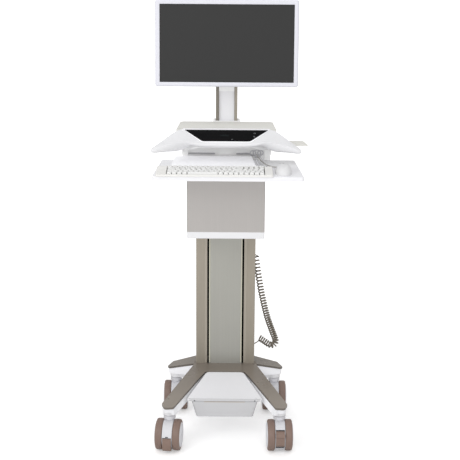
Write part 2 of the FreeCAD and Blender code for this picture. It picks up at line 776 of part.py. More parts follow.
def mouse_dome(scale):
    """Half ellipsoid with a flat base."""
    ball = Part.makeSphere(1.0)
    matrix = FreeCAD.Matrix()
    matrix.scale(MOUSE_HALF[0] * scale, MOUSE_HALF[1] * scale, MOUSE_HALF[2] * scale)
    dome = ball.transformGeometry(matrix)
    dome.translate(vec(MOUSE_CENTRE[0], MOUSE_CENTRE[1], TRAY_TOP))
    above = block((100, 300), (-400, -100), (TRAY_TOP, TRAY_TOP + 60))
    return dome.common(above)


BUTTON_FLOOR = 15.0
BUTTON_START = 6.0
BUTTON_GAP = 0.6
BUTTON_SPLIT = 4.6
MOUSE_WHEEL_RADIUS = 9.0
MOUSE_WHEEL_Y = 26.0
MOUSE_WHEEL_Z = 22.0


def mouse_front(gap):
    """Space above the button floor at the mouse's front end."""
    y = MOUSE_CENTRE[1] + BUTTON_START + gap
    low = TRAY_TOP + BUTTON_FLOOR + 2.5 * gap
    return block((100, 300), (y, y + 90), (low, low + 60))


def mouse_button(side):
    x = MOUSE_CENTRE[0]
    keep = block((x + BUTTON_SPLIT, x + 60), (-400, -100), (TRAY_TOP, TRAY_TOP + 60))
    if side < 0:
        keep = block((x - 60, x - BUTTON_SPLIT), (-400, -100), (TRAY_TOP, TRAY_TOP + 60))
    return mouse_dome(1.0).common(mouse_front(BUTTON_GAP)).common(keep)


def mouse_wheel_solid(radius, half):
    x, y = MOUSE_CENTRE
    return rod(radius, (x - half, y + MOUSE_WHEEL_Y, TRAY_TOP + MOUSE_WHEEL_Z), (1, 0, 0), 2 * half)


def mouse_shell():
    well = mouse_wheel_solid(MOUSE_WHEEL_RADIUS + 0.8, 4.2)
    return mouse_dome(1.0).cut(mouse_front(0)).cut(well)


def mouse_wheel():
    return mouse_wheel_solid(MOUSE_WHEEL_RADIUS, 3.4)


def tray_cables():
    """Mouse and keyboard leads lying on the tray."""
    z = TRAY_TOP + 4
    mouse_lead = tube([(212, -188, z + 3), (196, -178, z + 6), (170, -150, z), (140, -110, z + 2), (124, -70, z + 16)], 2)
    keyboard_lead = tube([(126, -200, z + 4), (128, -170, z), (124, -130, z), (118, -80, z + 10)], 2)
    return Part.makeCompound([mouse_lead, keyboard_lead])


# side shelf ------------------------------------------------------------------


def side_shelf():
    """Thin shelf that slides out to the right under the head."""
    corners = [
        (SHELF_X[0], SHELF_Y[1], 4.0),
        (SHELF_X[0], SHELF_Y[0], 4.0),
        (SHELF_X[1], SHELF_Y[0], 4.0),
        (SHELF_X[1] - 15, SHELF_Y[1], 6.0),
    ]
    return slab(corners, SHELF_Z, SHELF_Z + SHELF_THICK)


def shelf_runners():
    """Two angle runners under the head that carry the side shelf."""
    x = (-20, 186)
    low = SHELF_Z - 2.4
    front = block(x, (SHELF_Y[0] - 4, SHELF_Y[0] - 0.4), (low, HEAD_BOTTOM))
    front_lip = block(x, (SHELF_Y[0] - 4, SHELF_Y[0] + 5), (low, SHELF_Z - 0.2))
    rear = block(x, (SHELF_Y[1] + 0.4, SHELF_Y[1] + 4), (low, HEAD_BOTTOM))
    rear_lip = block(x, (SHELF_Y[1] - 5, SHELF_Y[1] + 4), (low, SHELF_Z - 0.2))
    return Part.makeCompound([front.fuse(front_lip).removeSplitter(), rear.fuse(rear_lip).removeSplitter()])


# monitor ---------------------------------------------------------------------


def tilted(shape):
    """Leans a monitor piece back about the tilt axis."""
    shape.rotate(vec(0, TILT_AXIS_Y, MONITOR_Z), vec(1, 0, 0), -MONITOR_TILT)
    return shape


def upright_slab(width, height, y, radius, taper=0.0):
    """Plate facing the user, centred on the monitor; taper draws its back edges in."""
    half_w = width / 2
    half_h = height / 2

    def ring(shrink, depth):
        corners = []
        for sx, sz in ((-1, -1), (1, -1), (1, 1), (-1, 1)):
            corners.append((vec(sx * (half_w - shrink), depth, MONITOR_Z + sz * (half_h - shrink)), radius))
        return rounded_wire(corners)

    return Part.makeLoft([ring(0, y[0]), ring(taper, y[1])], True, True)


def monitor_bezel():
    frame = upright_slab(MONITOR_WIDTH, MONITOR_HEIGHT, (-4, 12), 9)
    window = upright_slab(SCREEN_WIDTH, SCREEN_HEIGHT, (-5, 13), 1)
    return tilted(frame.cut(window))


def monitor_screen():
    return tilted(upright_slab(SCREEN_WIDTH - 0.4, SCREEN_HEIGHT - 0.4, (-1, 11.5), 0.9))


def monitor_back():
    rim = upright_slab(MONITOR_WIDTH, MONITOR_HEIGHT, (12, 24), 9, 7)
    hump = upright_slab(340, 210, (23, 35), 14, 12)
    back = rim.fuse(hump).removeSplitter()
    return tilted(back)


def vesa_plate():
    """Tilting head plate screwed to the monitor's back, with the ears that turn on the tilt pin."""
    plate = upright_slab(120, 120, (35, 38), 8)
    ear = block((21, 27), (37.5, 57), (MONITOR_Z - 14, MONITOR_Z + 14))
    bore = rod(4 + RUNNING_GAP, (-40, TILT_AXIS_Y, MONITOR_Z), (1, 0, 0), 80)
    return tilted(fuse([plate] + both_sides(ear)).cut(bore))


def pan_bracket():
    """Knuckle that turns left and right on the slider's pin and carries the tilt pin."""
    knuckle = block((-20.5, 20.5), (43, 61), (MONITOR_Z - 12, MONITOR_Z + 12))
    barrel = rod(11, (0, PAN_AXIS_Y, MONITOR_Z - 20), (0, 0, 1), 40)
    pin = rod(4, (-29, TILT_AXIS_Y, MONITOR_Z), (1, 0, 0), 58)
    bore = rod(5 + RUNNING_GAP, (0, PAN_AXIS_Y, MONITOR_Z - 30), (0, 0, 1), 60)
    return fuse([knuckle, barrel, pin]).cut(bore)


def monitor_slider():
    """Runs up and down in the post's channel; its two lugs hold the pan pin."""
    half = POST_CHANNEL - SIDE_GAP
    runner = block((-half, half), (POST_FRONT + 1, 92.5), SLIDER_Z)
    face = plan_block((-25, 25), (78, POST_FRONT + 2), SLIDER_Z, 1)
    low_lug = block((-12, 12), (PAN_AXIS_Y - 10, 80), (MONITOR_Z - 28, MONITOR_Z - 20.5))
    high_lug = block((-12, 12), (PAN_AXIS_Y - 10, 80), (MONITOR_Z + 20.5, MONITOR_Z + 28))
    pin = rod(5, (0, PAN_AXIS_Y, MONITOR_Z - 28), (0, 0, 1), 56)
    return fuse([runner, face, low_lug, high_lug, pin])


# casters ---------------------------------------------------------------------


def placed(shape, caster):
    """Turns a caster piece to its resting direction and moves it under its leg."""
    x, y, yaw = CASTERS[caster]
    shape.rotate(vec(0, 0, 0), vec(0, 0, 1), yaw)
    shape.translate(vec(x, y, 0))
    return shape


PEDAL_HALF = 17.5
PEDAL_PIN_RADIUS = 3.0
# pivot, opening left in the hood, and lever outline (y, z), measured from the swivel axis and the floor
PEDALS = {
    "front_left": {
        "pivot": (-52.0, 50.0),
        "room": (0.0, 71.0),
        "outline": [(-43, 66), (-79, 68), (-84, 44), (-80, 21), (-72, 13), (-60, 16), (-43, 38)],
    },
    "front_right": {
        "pivot": (-52.0, 76.0),
        "room": (25.0, 103.0),
        "outline": [(-42, 90), (-67, 99), (-84, 92), (-87, 80), (-81, 76), (-80, 46), (-72, 35), (-60, 40), (-42, 66)],
    },
}
PEDAL_ROOM_Y = -36.0


def caster_fork(caster):
    """Stem, neck and hood between the wheels, with the axle held across it."""
    half = HOOD_WIDTH / 2 - SIDE_GAP
    disc = rod(HOOD_RADIUS, (-half, -TRAIL, WHEEL_RADIUS), (1, 0, 0), 2 * half)
    under = block((-30, 30), (-120, 60), (0, HOOD_BOTTOM))
    behind = block((-30, 30), (-TRAIL + 34, 60), (0, 200))
    hood = disc.cut(under).cut(behind)
    neck = rod(21, (0, 0, 96), (0, 0, 1), SOCKET_BOTTOM - SIDE_GAP - 96)
    side_trim = block((-half, half), (-60, 60), (60, 200))
    stem = rod(STEM_RADIUS, (0, 0, 130), (0, 0, 1), FRAME_BOTTOM + FRAME_THICK - 4 - 130)
    axle = rod(5, (-HOOD_WIDTH / 2 - TYRE_WIDTH, -TRAIL, WHEEL_RADIUS), (1, 0, 0), HOOD_WIDTH + 2 * TYRE_WIDTH)
    collar = rod(NECK_RADIUS, (0, 0, NECK_BOTTOM), (0, 0, 1), SOCKET_BOTTOM - SIDE_GAP - NECK_BOTTOM)
    whole = fuse([hood, neck.common(side_trim).fuse(collar), stem])
    if caster.startswith("front"):
        pedal = PEDALS[caster]
        room = block((-PEDAL_HALF - 0.4, PEDAL_HALF + 0.4), (-120, PEDAL_ROOM_Y), pedal["room"])
        pin = rod(PEDAL_PIN_RADIUS, (-half, *pedal["pivot"]), (1, 0, 0), 2 * half)
        whole = whole.cut(room).fuse(pin)
    return placed(fuse([whole, axle]), caster)


def caster_tyres(caster):
    """Two soft treads with rounded shoulders."""
    tyres = []
    for side in (-1, 1):
        inner = side * HOOD_WIDTH / 2
        tyre = rod(WHEEL_RADIUS, (inner, -TRAIL, WHEEL_RADIUS), (side, 0, 0), TYRE_WIDTH)
        tyre = tyre.makeFillet(7, [e for e in tyre.Edges if e.Closed and e.Length > 100])
        core = rod(HUB_RADIUS, (inner - side, -TRAIL, WHEEL_RADIUS), (side, 0, 0), TYRE_WIDTH + 2)
        tyres.append(tyre.cut(core))
    return placed(Part.makeCompound(tyres), caster)


def caster_hubs(caster):
    """Two hub discs with shallow outer caps, running on the axle."""
    hubs = []
    for side in (-1, 1):
        inner = side * HOOD_WIDTH / 2
        hub = rod(HUB_RADIUS, (inner, -TRAIL, WHEEL_RADIUS), (side, 0, 0), TYRE_WIDTH)
        cap = Part.makeCone(HUB_RADIUS, HUB_RADIUS - 6, HUB_CAP_PROUD, vec(inner + side * TYRE_WIDTH, -TRAIL, WHEEL_RADIUS), vec(side, 0, 0))
        bore = rod(5 + RUNNING_GAP, (inner - side, -TRAIL, WHEEL_RADIUS), (side, 0, 0), TYRE_WIDTH + 1.2)
        hubs.append(hub.fuse(cap).removeSplitter().cut(bore))
    return placed(Part.makeCompound(hubs), caster)


def brake_pedal(caster):
    """Foot lever between the wheels; pressing it down locks the caster."""
    pedal = PEDALS[caster]
    lever = side_prism(pedal["outline"], -PEDAL_HALF, PEDAL_HALF)
    bore = rod(PEDAL_PIN_RADIUS + RUNNING_GAP, (-30, *pedal["pivot"]), (1, 0, 0), 60)
    return placed(lever.cut(bore), caster)


# output ----------------------------------------------------------------------

NODES = {
    "base_frame": base_frame,
    "base_shell": base_shell,
    "base_cover": base_cover,
    "battery_lid": battery_lid,
    "lid_screws": lid_screws,
    "caster_sockets": caster_sockets,
    "column_sides": column_sides,
    "column_panel": column_panel,
    "column_back": column_back,
    "column_cap": column_cap,
    "spring_drums": spring_drums,
    "power_module": power_module,
    "power_cord": power_cord,
    "lift_carriage": lift_carriage,
    "spring_strips": spring_strips,
    "worksurface": worksurface,
    "head_shell": head_shell,
    "touch_panel": touch_panel,
    "side_housing": side_housing,
    "computer_box": computer_box,
    "box_trim": box_trim,
    "thin_client": thin_client,
    "post_rails": post_rails,
    "post_cover": post_cover,
    "post_foot": post_foot,
    "tray_rails": tray_rails,
    "cable_bundle": cable_bundle,
    "shelf_runners": shelf_runners,
    "side_shelf": side_shelf,
    "keyboard_tray": keyboard_tray,
    "tray_riser": tray_riser,
    "keyboard_case": keyboard_case,
    "keyboard_keys": keyboard_keys,
    "tray_cables": tray_cables,
    "mouse_shell": mouse_shell,
    "mouse_wheel": mouse_wheel,
    "battery_tub": battery_tub,
    "battery_pack": battery_pack,
    "monitor_slider": monitor_slider,
    "pan_bracket": pan_bracket,
    "vesa_plate": vesa_plate,
    "monitor_back": monitor_back,
    "monitor_bezel": monitor_bezel,
    "monitor_screen": monitor_screen,
}


def save(name, shape):
    """Writes one node, moved so that the origin is under the middle of the whole cart."""
    shape.translate(vec(PLAN_SHIFT[0], PLAN_SHIFT[1], 0))
    shape.exportStep("parts/" + name + ".step")


def main():
    os.makedirs("parts", exist_ok=True)
    for name, build in NODES.items():
        save(name, build())
    save("mouse_button_left", mouse_button(-1))
    save("mouse_button_right", mouse_button(1))
    for caster in CASTERS:
        save("caster_fork_" + caster, caster_fork(caster))
        save("caster_tyres_" + caster, caster_tyres(caster))
        save("caster_hubs_" + caster, caster_hubs(caster))
    for caster in ("front_left", "front_right"):
        save("brake_pedal_" + caster, brake_pedal(caster))


main()
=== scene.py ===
import json
import math

import bmesh
import bpy
from mathutils import Matrix, Vector


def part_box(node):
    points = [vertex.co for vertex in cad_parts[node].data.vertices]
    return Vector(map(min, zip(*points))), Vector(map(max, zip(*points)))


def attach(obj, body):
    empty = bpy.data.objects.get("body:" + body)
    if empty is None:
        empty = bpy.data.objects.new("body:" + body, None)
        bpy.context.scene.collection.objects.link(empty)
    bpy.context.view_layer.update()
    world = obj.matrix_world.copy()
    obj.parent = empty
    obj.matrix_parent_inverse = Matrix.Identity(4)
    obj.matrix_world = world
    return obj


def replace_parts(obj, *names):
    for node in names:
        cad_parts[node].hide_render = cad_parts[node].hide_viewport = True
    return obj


# A ward workstation cart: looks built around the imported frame. Lengths are metres in the frame's own axes.

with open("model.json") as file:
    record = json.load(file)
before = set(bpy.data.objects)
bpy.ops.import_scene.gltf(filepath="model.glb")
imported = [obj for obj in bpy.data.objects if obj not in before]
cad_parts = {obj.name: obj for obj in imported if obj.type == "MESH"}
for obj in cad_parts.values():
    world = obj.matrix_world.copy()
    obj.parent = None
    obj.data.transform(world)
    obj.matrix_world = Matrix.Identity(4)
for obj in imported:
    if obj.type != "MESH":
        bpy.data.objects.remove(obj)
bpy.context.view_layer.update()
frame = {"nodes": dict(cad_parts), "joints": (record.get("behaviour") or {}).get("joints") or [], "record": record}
NODES = frame["nodes"]
JOINTS = {joint["name"]: joint for joint in frame["joints"]}
MM = 0.001
CORNERS = ("front_left", "front_right", "rear_left", "rear_right")


# materials --------------------


def srgb(hex_color):
    """Linear colour from a hex string as seen on a screen."""
    parts = [int(hex_color[i:i + 2], 16) / 255 for i in (0, 2, 4)]
    return tuple(p / 12.92 if p < 0.04045 else ((p + 0.055) / 1.055) ** 2.4 for p in parts)


class Shader:
    """A principled material that detail is added to one layer at a time."""

    def __init__(self, name, hex_color, roughness, metallic=0.0):
        self.name = name
        self.material = bpy.data.materials.new(name)
        self.material.use_nodes = True
        self.tree = self.material.node_tree
        self.bsdf = self.tree.nodes["Principled BSDF"]
        self.place = self.add("ShaderNodeTexCoord").outputs["Object"]
        self.recoloured(self.add("ShaderNodeRGB").outputs["Color"])
        self.color.default_value = (*srgb(hex_color), 1.0)
        self.roughness = roughness
        self.normal = None
        self.surface({"Metallic": metallic, "Roughness": roughness})

    def feed(self, node, inputs):
        """Gives each named input a fixed value or the output of another node."""
        for key, value in inputs.items():
            if isinstance(value, bpy.types.NodeSocket):
                self.tree.links.new(value, node.inputs[key])
            else:
                node.inputs[key].default_value = value
        return node

    def add(self, kind, inputs=None):
        return self.feed(self.tree.nodes.new(kind), inputs or {})

    def surface(self, inputs):
        self.feed(self.bsdf, inputs)
        return self

    def noise(self, scale, stretch=(1, 1, 1), detail=3.0):
        """Noise value over the object, denser along an axis with a larger stretch."""
        spread = self.add("ShaderNodeMapping", {"Scale": stretch, "Vector": self.place}).outputs["Vector"]
        texture = self.add("ShaderNodeTexNoise", {"Scale": scale, "Detail": detail, "Vector": spread})
        return texture.outputs["Fac"]

    def ranged(self, value, low, high, start=0.3, end=0.7):
        """Turns value from the range start to end into low to high."""
        limits = {"From Min": start, "From Max": end, "To Min": low, "To Max": high}
        return self.add("ShaderNodeMapRange", {"Value": value, **limits}).outputs["Result"]

    def along(self, axis, vector):
        return self.add("ShaderNodeSeparateXYZ", {"Vector": vector}).outputs[axis]

    def recoloured(self, color):
        self.color = color
        return self.surface({"Base Color": color})

    def scaled(self, factor):
        """Multiplies the colour by factor."""
        node = self.add("ShaderNodeVectorMath")
        node.operation = "SCALE"
        self.feed(node, {"Vector": self.color, "Scale": factor})
        return self.recoloured(node.outputs["Vector"])

    def tone(self, value, amount):
        """Lightens and darkens the colour by amount, following value."""
        return self.scaled(self.ranged(value, 1 - amount, 1 + amount))

    def fade(self, axis, start, end, low, high):
        """Scales the colour from low at start to high at end along one axis of the piece."""
        return self.scaled(self.ranged(self.along(axis, self.place), low, high, start, end))

    def mottle(self, scale=5.0, amount=0.02):
        return self.tone(self.noise(scale), amount)

    def gloss_spread(self, scale=9.0, amount=0.06):
        """Lets the roughness vary by amount."""
        value = self.ranged(self.noise(scale), self.roughness - amount, self.roughness + amount)
        return self.surface({"Roughness": value})

    def bump(self, value, strength, distance):
        node = self.add("ShaderNodeBump", {"Strength": strength, "Distance": distance, "Height": value})
        if self.normal is not None:
            self.feed(node, {"Normal": self.normal})
        self.normal = node.outputs["Normal"]
        return self.surface({"Normal": self.normal})

    def grain(self, scale=1400.0, strength=0.12, distance=0.0003):
        """The fine leathery grain of moulded plastic."""
        return self.bump(self.noise(scale, detail=2.0), strength, distance)

    def brushed(self, stretch, amount=0.04, strength=0.08):
        """Fine parallel lines, as on brushed or drawn metal."""
        lines = self.noise(1.0, stretch, detail=5.0)
        self.tone(lines, amount)
        return self.bump(lines, strength, 0.0002)

    def edge_wear_and_highlight(self, hex_color, amount=0.5):
        """Paler colour along the convex edges: partly worn colour, partly a painted highlight where light catches
        the edges.
        """
        edges = self.add("ShaderNodeNewGeometry").outputs["Pointiness"]
        mix = self.add("ShaderNodeMix")
        mix.data_type = "RGBA"
        mask = self.ranged(edges, 0.0, amount, 0.52, 0.60)
        self.feed(mix, {"Factor": mask, "A": self.color, "B": (*srgb(hex_color), 1.0)})
        return self.recoloured(mix.outputs["Result"])

    def painted_side_shade(self, amount):
        """Paints shade on the faces that do not look up, darkening them down to amount."""
        up = self.along("Z", self.add("ShaderNodeNewGeometry").outputs["True Normal"])
        return self.scaled(self.ranged(up, amount, 1.0, 0.1, 0.75))

    def painted_glow(self, strength):
        """Painted light: the surface gives off a little of its own colour, which shows most where hardly any light
        reaches.
        """
        return self.surface({"Emission Color": self.color, "Emission Strength": strength})

    def dull(self, specular):
        """Sets how strongly the surface mirrors what is around it."""
        return self.surface({"Specular IOR Level": specular})


def plastic(name, hex_color, roughness, grain):
    return Shader(name, hex_color, roughness).mottle(4.0, 0.012).gloss_spread().grain(strength=grain)


# moulded plastics and rubbers: colour, roughness and strength of the grain
PLASTICS = {
    "white_moulding": ("e3e3e5", 0.42, 0.10),
    "pale_moulding": ("ededf0", 0.45, 0.10),
    "tub_moulding": ("c9c9cb", 0.48, 0.14),
    "tray_moulding": ("e9e9ec", 0.40, 0.10),
    "taupe_moulding": ("8a8177", 0.30, 0.14),
    "surface_laminate": ("dfded8", 0.50, 0.16),
    "grey_enamel": ("e4e4e4", 0.40, 0.10),
    "keyboard_plastic": ("e7e6e3", 0.50, 0.14),
    "key_plastic": ("e4e4e3", 0.48, 0.12),
    "mouse_plastic": ("dadadb", 0.42, 0.05),
    "monitor_plastic": ("d9d9e1", 0.45, 0.10),
    "dark_moulding": ("2b2b2e", 0.55, 0.18),
    "dark_rubber": ("3a3a3d", 0.65, 0.20),
    "white_cable": ("cfcfd3", 0.45, 0.05),
    "cord_jacket": ("7d756a", 0.42, 0.08),
    "caster_tread": ("7f6a60", 0.50, 0.20),
    "caster_tread_hard": ("836d62", 0.48, 0.16),
    "underside_moulding": ("ececec", 0.48, 0.10),
    # paler white for the touch panel's rim: a painted highlight
    "highlight_rim_white": ("fbfbfd", 0.35, 0.10),
    "hub_white": ("dcdce0", 0.36, 0.10),
    "grip_moulding": ("c9bfb2", 0.50, 0.14),
    "seam_grey": ("b9b9bd", 0.50, 0.10),
    "lead_grey": ("a8a5a0", 0.50, 0.05),
    "shell_white": ("f6f6f9", 0.42, 0.10),
    # darker copy of the white for the caster forks: painted shade
    "fork_shaded_white": ("d4d4d8", 0.42, 0.10),
    # paler copy of the tray's white for the riser under the head: painted light, with a glow added below
    "riser_lit_white": ("efeff2", 0.40, 0.10),
}

# noise stretched into fine lines, for metal brushed upright or along X
VERTICAL_LINES = (900, 900, 3)
LEVEL_LINES = (4, 900, 900)

# the column's metals are darkened towards their foot between these heights, in metres: painted shade
PAINTED_FOOT_SHADE = ("Z", 0.2, 0.75)


def make_glasses():
    """Glass, dark fillers and printed marks."""
    return [
        Shader("panel_glass", "151516", 0.12).gloss_spread(30, 0.02).dull(0.12),
        Shader("screen_glass", "383838", 0.5).mottle(3, 0.01).grain(2500, 0.05, 0.0001).dull(0.1),
        Shader("display_glow", "0c1415", 0.18).mottle(300, 0.25),
        Shader("brush_black", "030303", 0.95).grain(2200, 0.4).dull(0.0),
        Shader("key_shadow", "555552", 0.7).grain(1500, 0.2),
        Shader("mark_grey", "6d7072", 0.4).mottle(40, 0.1),
        Shader("gasket_black", "1c1c1d", 0.6).grain(1800, 0.2),
    ]


def make_metals():
    """Drawn, brushed and painted metals."""
    # painted shade: the column's metals below, all but the bright trim, darken towards their foot
    sharp = [
        # painted highlight: the slot trims' metals are paler than the column
        Shader("highlight_aluminium", "c4c1b0", 0.35, 0.1),
        Shader("edge_highlight_aluminium", "a9a194", 0.40, 0.3).fade(*PAINTED_FOOT_SHADE, 0.88, 1.0),
    ]
    satin = [
        Shader("champagne_aluminium", "9f978a", 0.42, 0.35).fade(*PAINTED_FOOT_SHADE, 0.88, 1.02),
        # painted shade: the post rails darken towards the left
        Shader("post_aluminium", "a39c90", 0.42, 0.35).fade("X", -0.046, 0.046, 0.60, 1.03),
        Shader("brushed_enamel", "b2aeab", 0.36, 0.4),
    ]
    for metal in sharp + satin:
        metal.brushed(VERTICAL_LINES, amount=0.03)
    satin.append(Shader("column_aluminium", "a9a8a1", 0.38, 0.45).fade(*PAINTED_FOOT_SHADE, 0.94, 1.0))
    satin[-1].brushed(VERTICAL_LINES, amount=0.035)
    for metal in satin:
        metal.gloss_spread(2, 0.05)
    steel = Shader("frame_steel", "3e3e41", 0.45).mottle(8, 0.04).grain(700, 0.2)
    zinc = Shader("zinc_steel", "b5b5b3", 0.35, 0.9).brushed(LEVEL_LINES)
    return sharp + satin + [steel, zinc]


def make_materials():
    """Every material of the cart by its name."""
    made = {name: plastic(name, *look) for name, look in PLASTICS.items()}
    # painted light: the tray, the grey enamel parts and the riser glow a little, to brighten them where little
    # light reaches
    made["tray_moulding"].painted_glow(0.03)
    made["grey_enamel"].painted_glow(0.2)
    made["riser_lit_white"].painted_glow(0.24)
    # paler tread edges: partly wear, partly a painted highlight
    made["caster_tread"].edge_wear_and_highlight("a08a7e", 0.25)
    # painted shade: the shell darkens towards its front end
    made["shell_white"].fade("Y", -0.205, -0.165, 0.86, 1.0)
    # painted shade on the taupe covers: darker on faces that do not look up and towards the hub under the column;
    # paler edges are partly wear, partly a painted highlight
    made["taupe_moulding"].edge_wear_and_highlight("9b9184", 0.25).painted_side_shade(0.58).fade("Y", -0.15, 0.13, 1.03, 0.78)
    made.update({shader.name: shader for shader in make_glasses() + make_metals()})
    return {name: shader.material for name, shader in made.items()}


MATERIALS = make_materials()


# places --------------------


def middle(node):
    low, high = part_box(node)
    return (Vector(low) + Vector(high)) / 2


# the drawing's zero: on the middle plane, and this far in front of the column
COLUMN_FRONT = 150
COLUMN_DEPTH = 100
ZERO = Vector((middle("column_sides").x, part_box("column_sides")[0][1] - COLUMN_FRONT * MM, 0.0))


def at(x, y, z):
    """Frame place of a drawing point given in millimetres from the zero."""
    return ZERO + Vector((x, y, z)) * MM


# mesh helpers --------------------


def link_object(name, data):
    piece = bpy.data.objects.new(name, data)
    bpy.context.scene.collection.objects.link(piece)
    return piece


def clean(mesh):
    """Merges doubled points and turns every face outwards."""
    shape = bmesh.new()
    shape.from_mesh(mesh)
    bmesh.ops.remove_doubles(shape, verts=shape.verts, dist=1e-6)
    bmesh.ops.recalc_face_normals(shape, faces=shape.faces)
    shape.to_mesh(mesh)
    shape.free()


def solid(name, verts, faces):
    mesh = bpy.data.meshes.new(name)
    mesh.from_pydata([tuple(v) for v in verts], [], faces)
    clean(mesh)
    return link_object(name, mesh)


def place(piece, finish, body):
    """Gives a piece its material and its body."""
    piece.data.materials.clear()
    piece.data.materials.append(MATERIALS[finish])
    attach(piece, body)
    return piece


def loft(name, rings, closed=False):
    """Skin over rings of equal count: closed joins the last ring to the first, otherwise the ends are capped."""
    count = len(rings[0])
    verts = [point for ring in rings for point in ring]
    faces = []
    bands = len(rings) if closed else len(rings) - 1
    for i in range(bands):
        here = i * count
        there = (i + 1) % len(rings) * count
        for j in range(count):
            k = (j + 1) % count
            faces.append((here + j, here + k, there + k, there + j))
    if not closed:
        faces.append(tuple(range(count)))
        faces.append(tuple(range(len(verts) - count, len(verts))))
    return solid(name, verts, faces)


def lathe(name, profile, centre, axis, segments=96):
    """Turned piece: profile is (radius, distance along the axis) in millimetres, as a closed outline."""
    axis = Vector(axis).normalized()
    across = axis.orthogonal().normalized()
    other = axis.cross(across)
    rings = []
    for i in range(segments):
        turn = 2 * math.pi * i / segments
        out = across * math.cos(turn) + other * math.sin(turn)
        rings.append([centre + (out * radius + axis * along) * MM for radius, along in profile])
    return loft(name, rings, closed=True)


def rounded(corners, steps=6):
    """Plan outline with round corners, from (x, y, radius) in millimetres."""
    outline = []
    for i, (x, y, radius) in enumerate(corners):
        here = Vector((x, y))
        before = (Vector(corners[i - 1][:2]) - here).normalized()
        after = (Vector(corners[(i + 1) % len(corners)][:2]) - here).normalized()
        half = before.angle(after) / 2
        start = here + before * radius / math.tan(half)
        end = here + after * radius / math.tan(half)
        hub = here + (before + after).normalized() * radius / math.sin(half)
        for k in range(steps + 1):
            spoke = (start - hub).slerp(end - hub, k / steps).normalized()
            outline.append(tuple(hub + spoke * radius))
    return outline


def rectangle(xs, ys):
    """Corners of a rectangle between two places along each axis."""
    return [(xs[0], ys[0]), (xs[1], ys[0]), (xs[1], ys[1]), (xs[0], ys[1])]


def cuboid(name, low, high):
    """Block between two drawing corners in millimetres."""
    (x0, y0, z0), (x1, y1, z1) = low, high
    return loft(name, [[at(x, y, z) for x, y in rectangle((x0, x1), (y0, y1))] for z in (z0, z1)])


def strung(name, stations):
    """Skin over outlines (y, z) that stand at places along X, from pairs of x and outline."""
    return loft(name, [[at(x, y, z) for y, z in outline] for x, outline in stations])


def applied(piece):
    """Makes the piece's modifiers part of its mesh."""
    bpy.context.view_layer.update()
    graph = bpy.context.evaluated_depsgraph_get()
    mesh = bpy.data.meshes.new_from_object(piece.evaluated_get(graph))
    piece.modifiers.clear()
    piece.data = mesh
    return piece


def cut(piece, tool, operation="DIFFERENCE"):
    modifier = piece.modifiers.new("cut", "BOOLEAN")
    modifier.operation = operation
    modifier.solver = "EXACT"
    modifier.object = tool
    applied(piece)
    bpy.data.objects.remove(tool)
    clean(piece.data)
    return piece


def merged(name, parts):
    """One object out of several meshes that stay separate solids."""
    shape = bmesh.new()
    for part in parts:
        shape.from_mesh(part.data)
        bpy.data.objects.remove(part)
    mesh = bpy.data.meshes.new(name)
    shape.to_mesh(mesh)
    shape.free()
    return link_object(name, mesh)


def bevel(piece, width, segments=3, angle=30):
    modifier = piece.modifiers.new("bevel", "BEVEL")
    modifier.width = width * MM
    modifier.segments = segments
    modifier.limit_method = "ANGLE"
    modifier.angle_limit = math.radians(angle)
    modifier.harden_normals = True
    return piece


def smooth(piece, levels=0):
    for face in piece.data.polygons:
        face.use_smooth = True
    if levels:
        modifier = piece.modifiers.new("subdivide", "SUBSURF")
        modifier.levels = levels
        modifier.render_levels = levels
    return piece


def soft(piece, width, finish, body, segments=2):
    """Places a piece with its sharp edges rounded."""
    return place(smooth(bevel(piece, width, segments)), finish, body)


def crease(piece, line, amount):
    """Sharpens the edges whose two ends are both points of the line."""
    mesh = piece.data
    layer = mesh.attributes.get("crease_edge") or mesh.attributes.new("crease_edge", "FLOAT", "EDGE")
    for edge in mesh.edges:
        ends = [mesh.vertices[i].co for i in edge.vertices]
        if all(min((end - point).length for point in line) < 0.1 * MM for end in ends):
            layer.data[edge.index].value = amount


def cable(name, points, radius, slot, body, sides=12, steps=6):
    """Round cable through drawing points, in millimetres."""
    guide = bpy.data.curves.new(name, "CURVE")
    guide.dimensions = "3D"
    guide.bevel_depth = radius * MM
    guide.bevel_resolution = sides // 4
    guide.use_fill_caps = True
    guide.resolution_u = steps
    line = guide.splines.new("NURBS")
    line.points.add(len(points) - 1)
    for knot, point in zip(line.points, points):
        knot.co = (*at(*point), 1.0)
    line.order_u = 4
    line.use_endpoint_u = True
    curve = link_object(name + "_guide", guide)
    graph = bpy.context.evaluated_depsgraph_get()
    mesh = bpy.data.meshes.new_from_object(curve.evaluated_get(graph))
    bpy.data.objects.remove(curve)
    clean(mesh)
    return place(smooth(link_object(name, mesh)), slot, body)


def soften_node(name, width):
    """Rounds a CAD node's sharp edges and keeps its flat faces flat."""
    node = NODES[name]
    weld = node.modifiers.new("weld", "WELD")
    weld.merge_threshold = 1e-6
    bevel(node, width, 2 if width < 0.5 else 3)
    flat = node.modifiers.new("flat", "WEIGHTED_NORMAL")
    flat.mode = "FACE_AREA"
    flat.weight = 100
    flat.keep_sharp = False
    return smooth(node)


# nodes whose look differs from the rest of their slot: the riser is a paler copy with painted light, the forks a
# darker copy with painted shade, and the shell and the post rails carry painted shade
OWN_FINISH = {
    "tray_riser": "riser_lit_white",
    "base_shell": "shell_white",
    "post_rails": "post_aluminium",
}
OWN_FINISH.update({"caster_fork_" + corner: "fork_shaded_white" for corner in CORNERS})

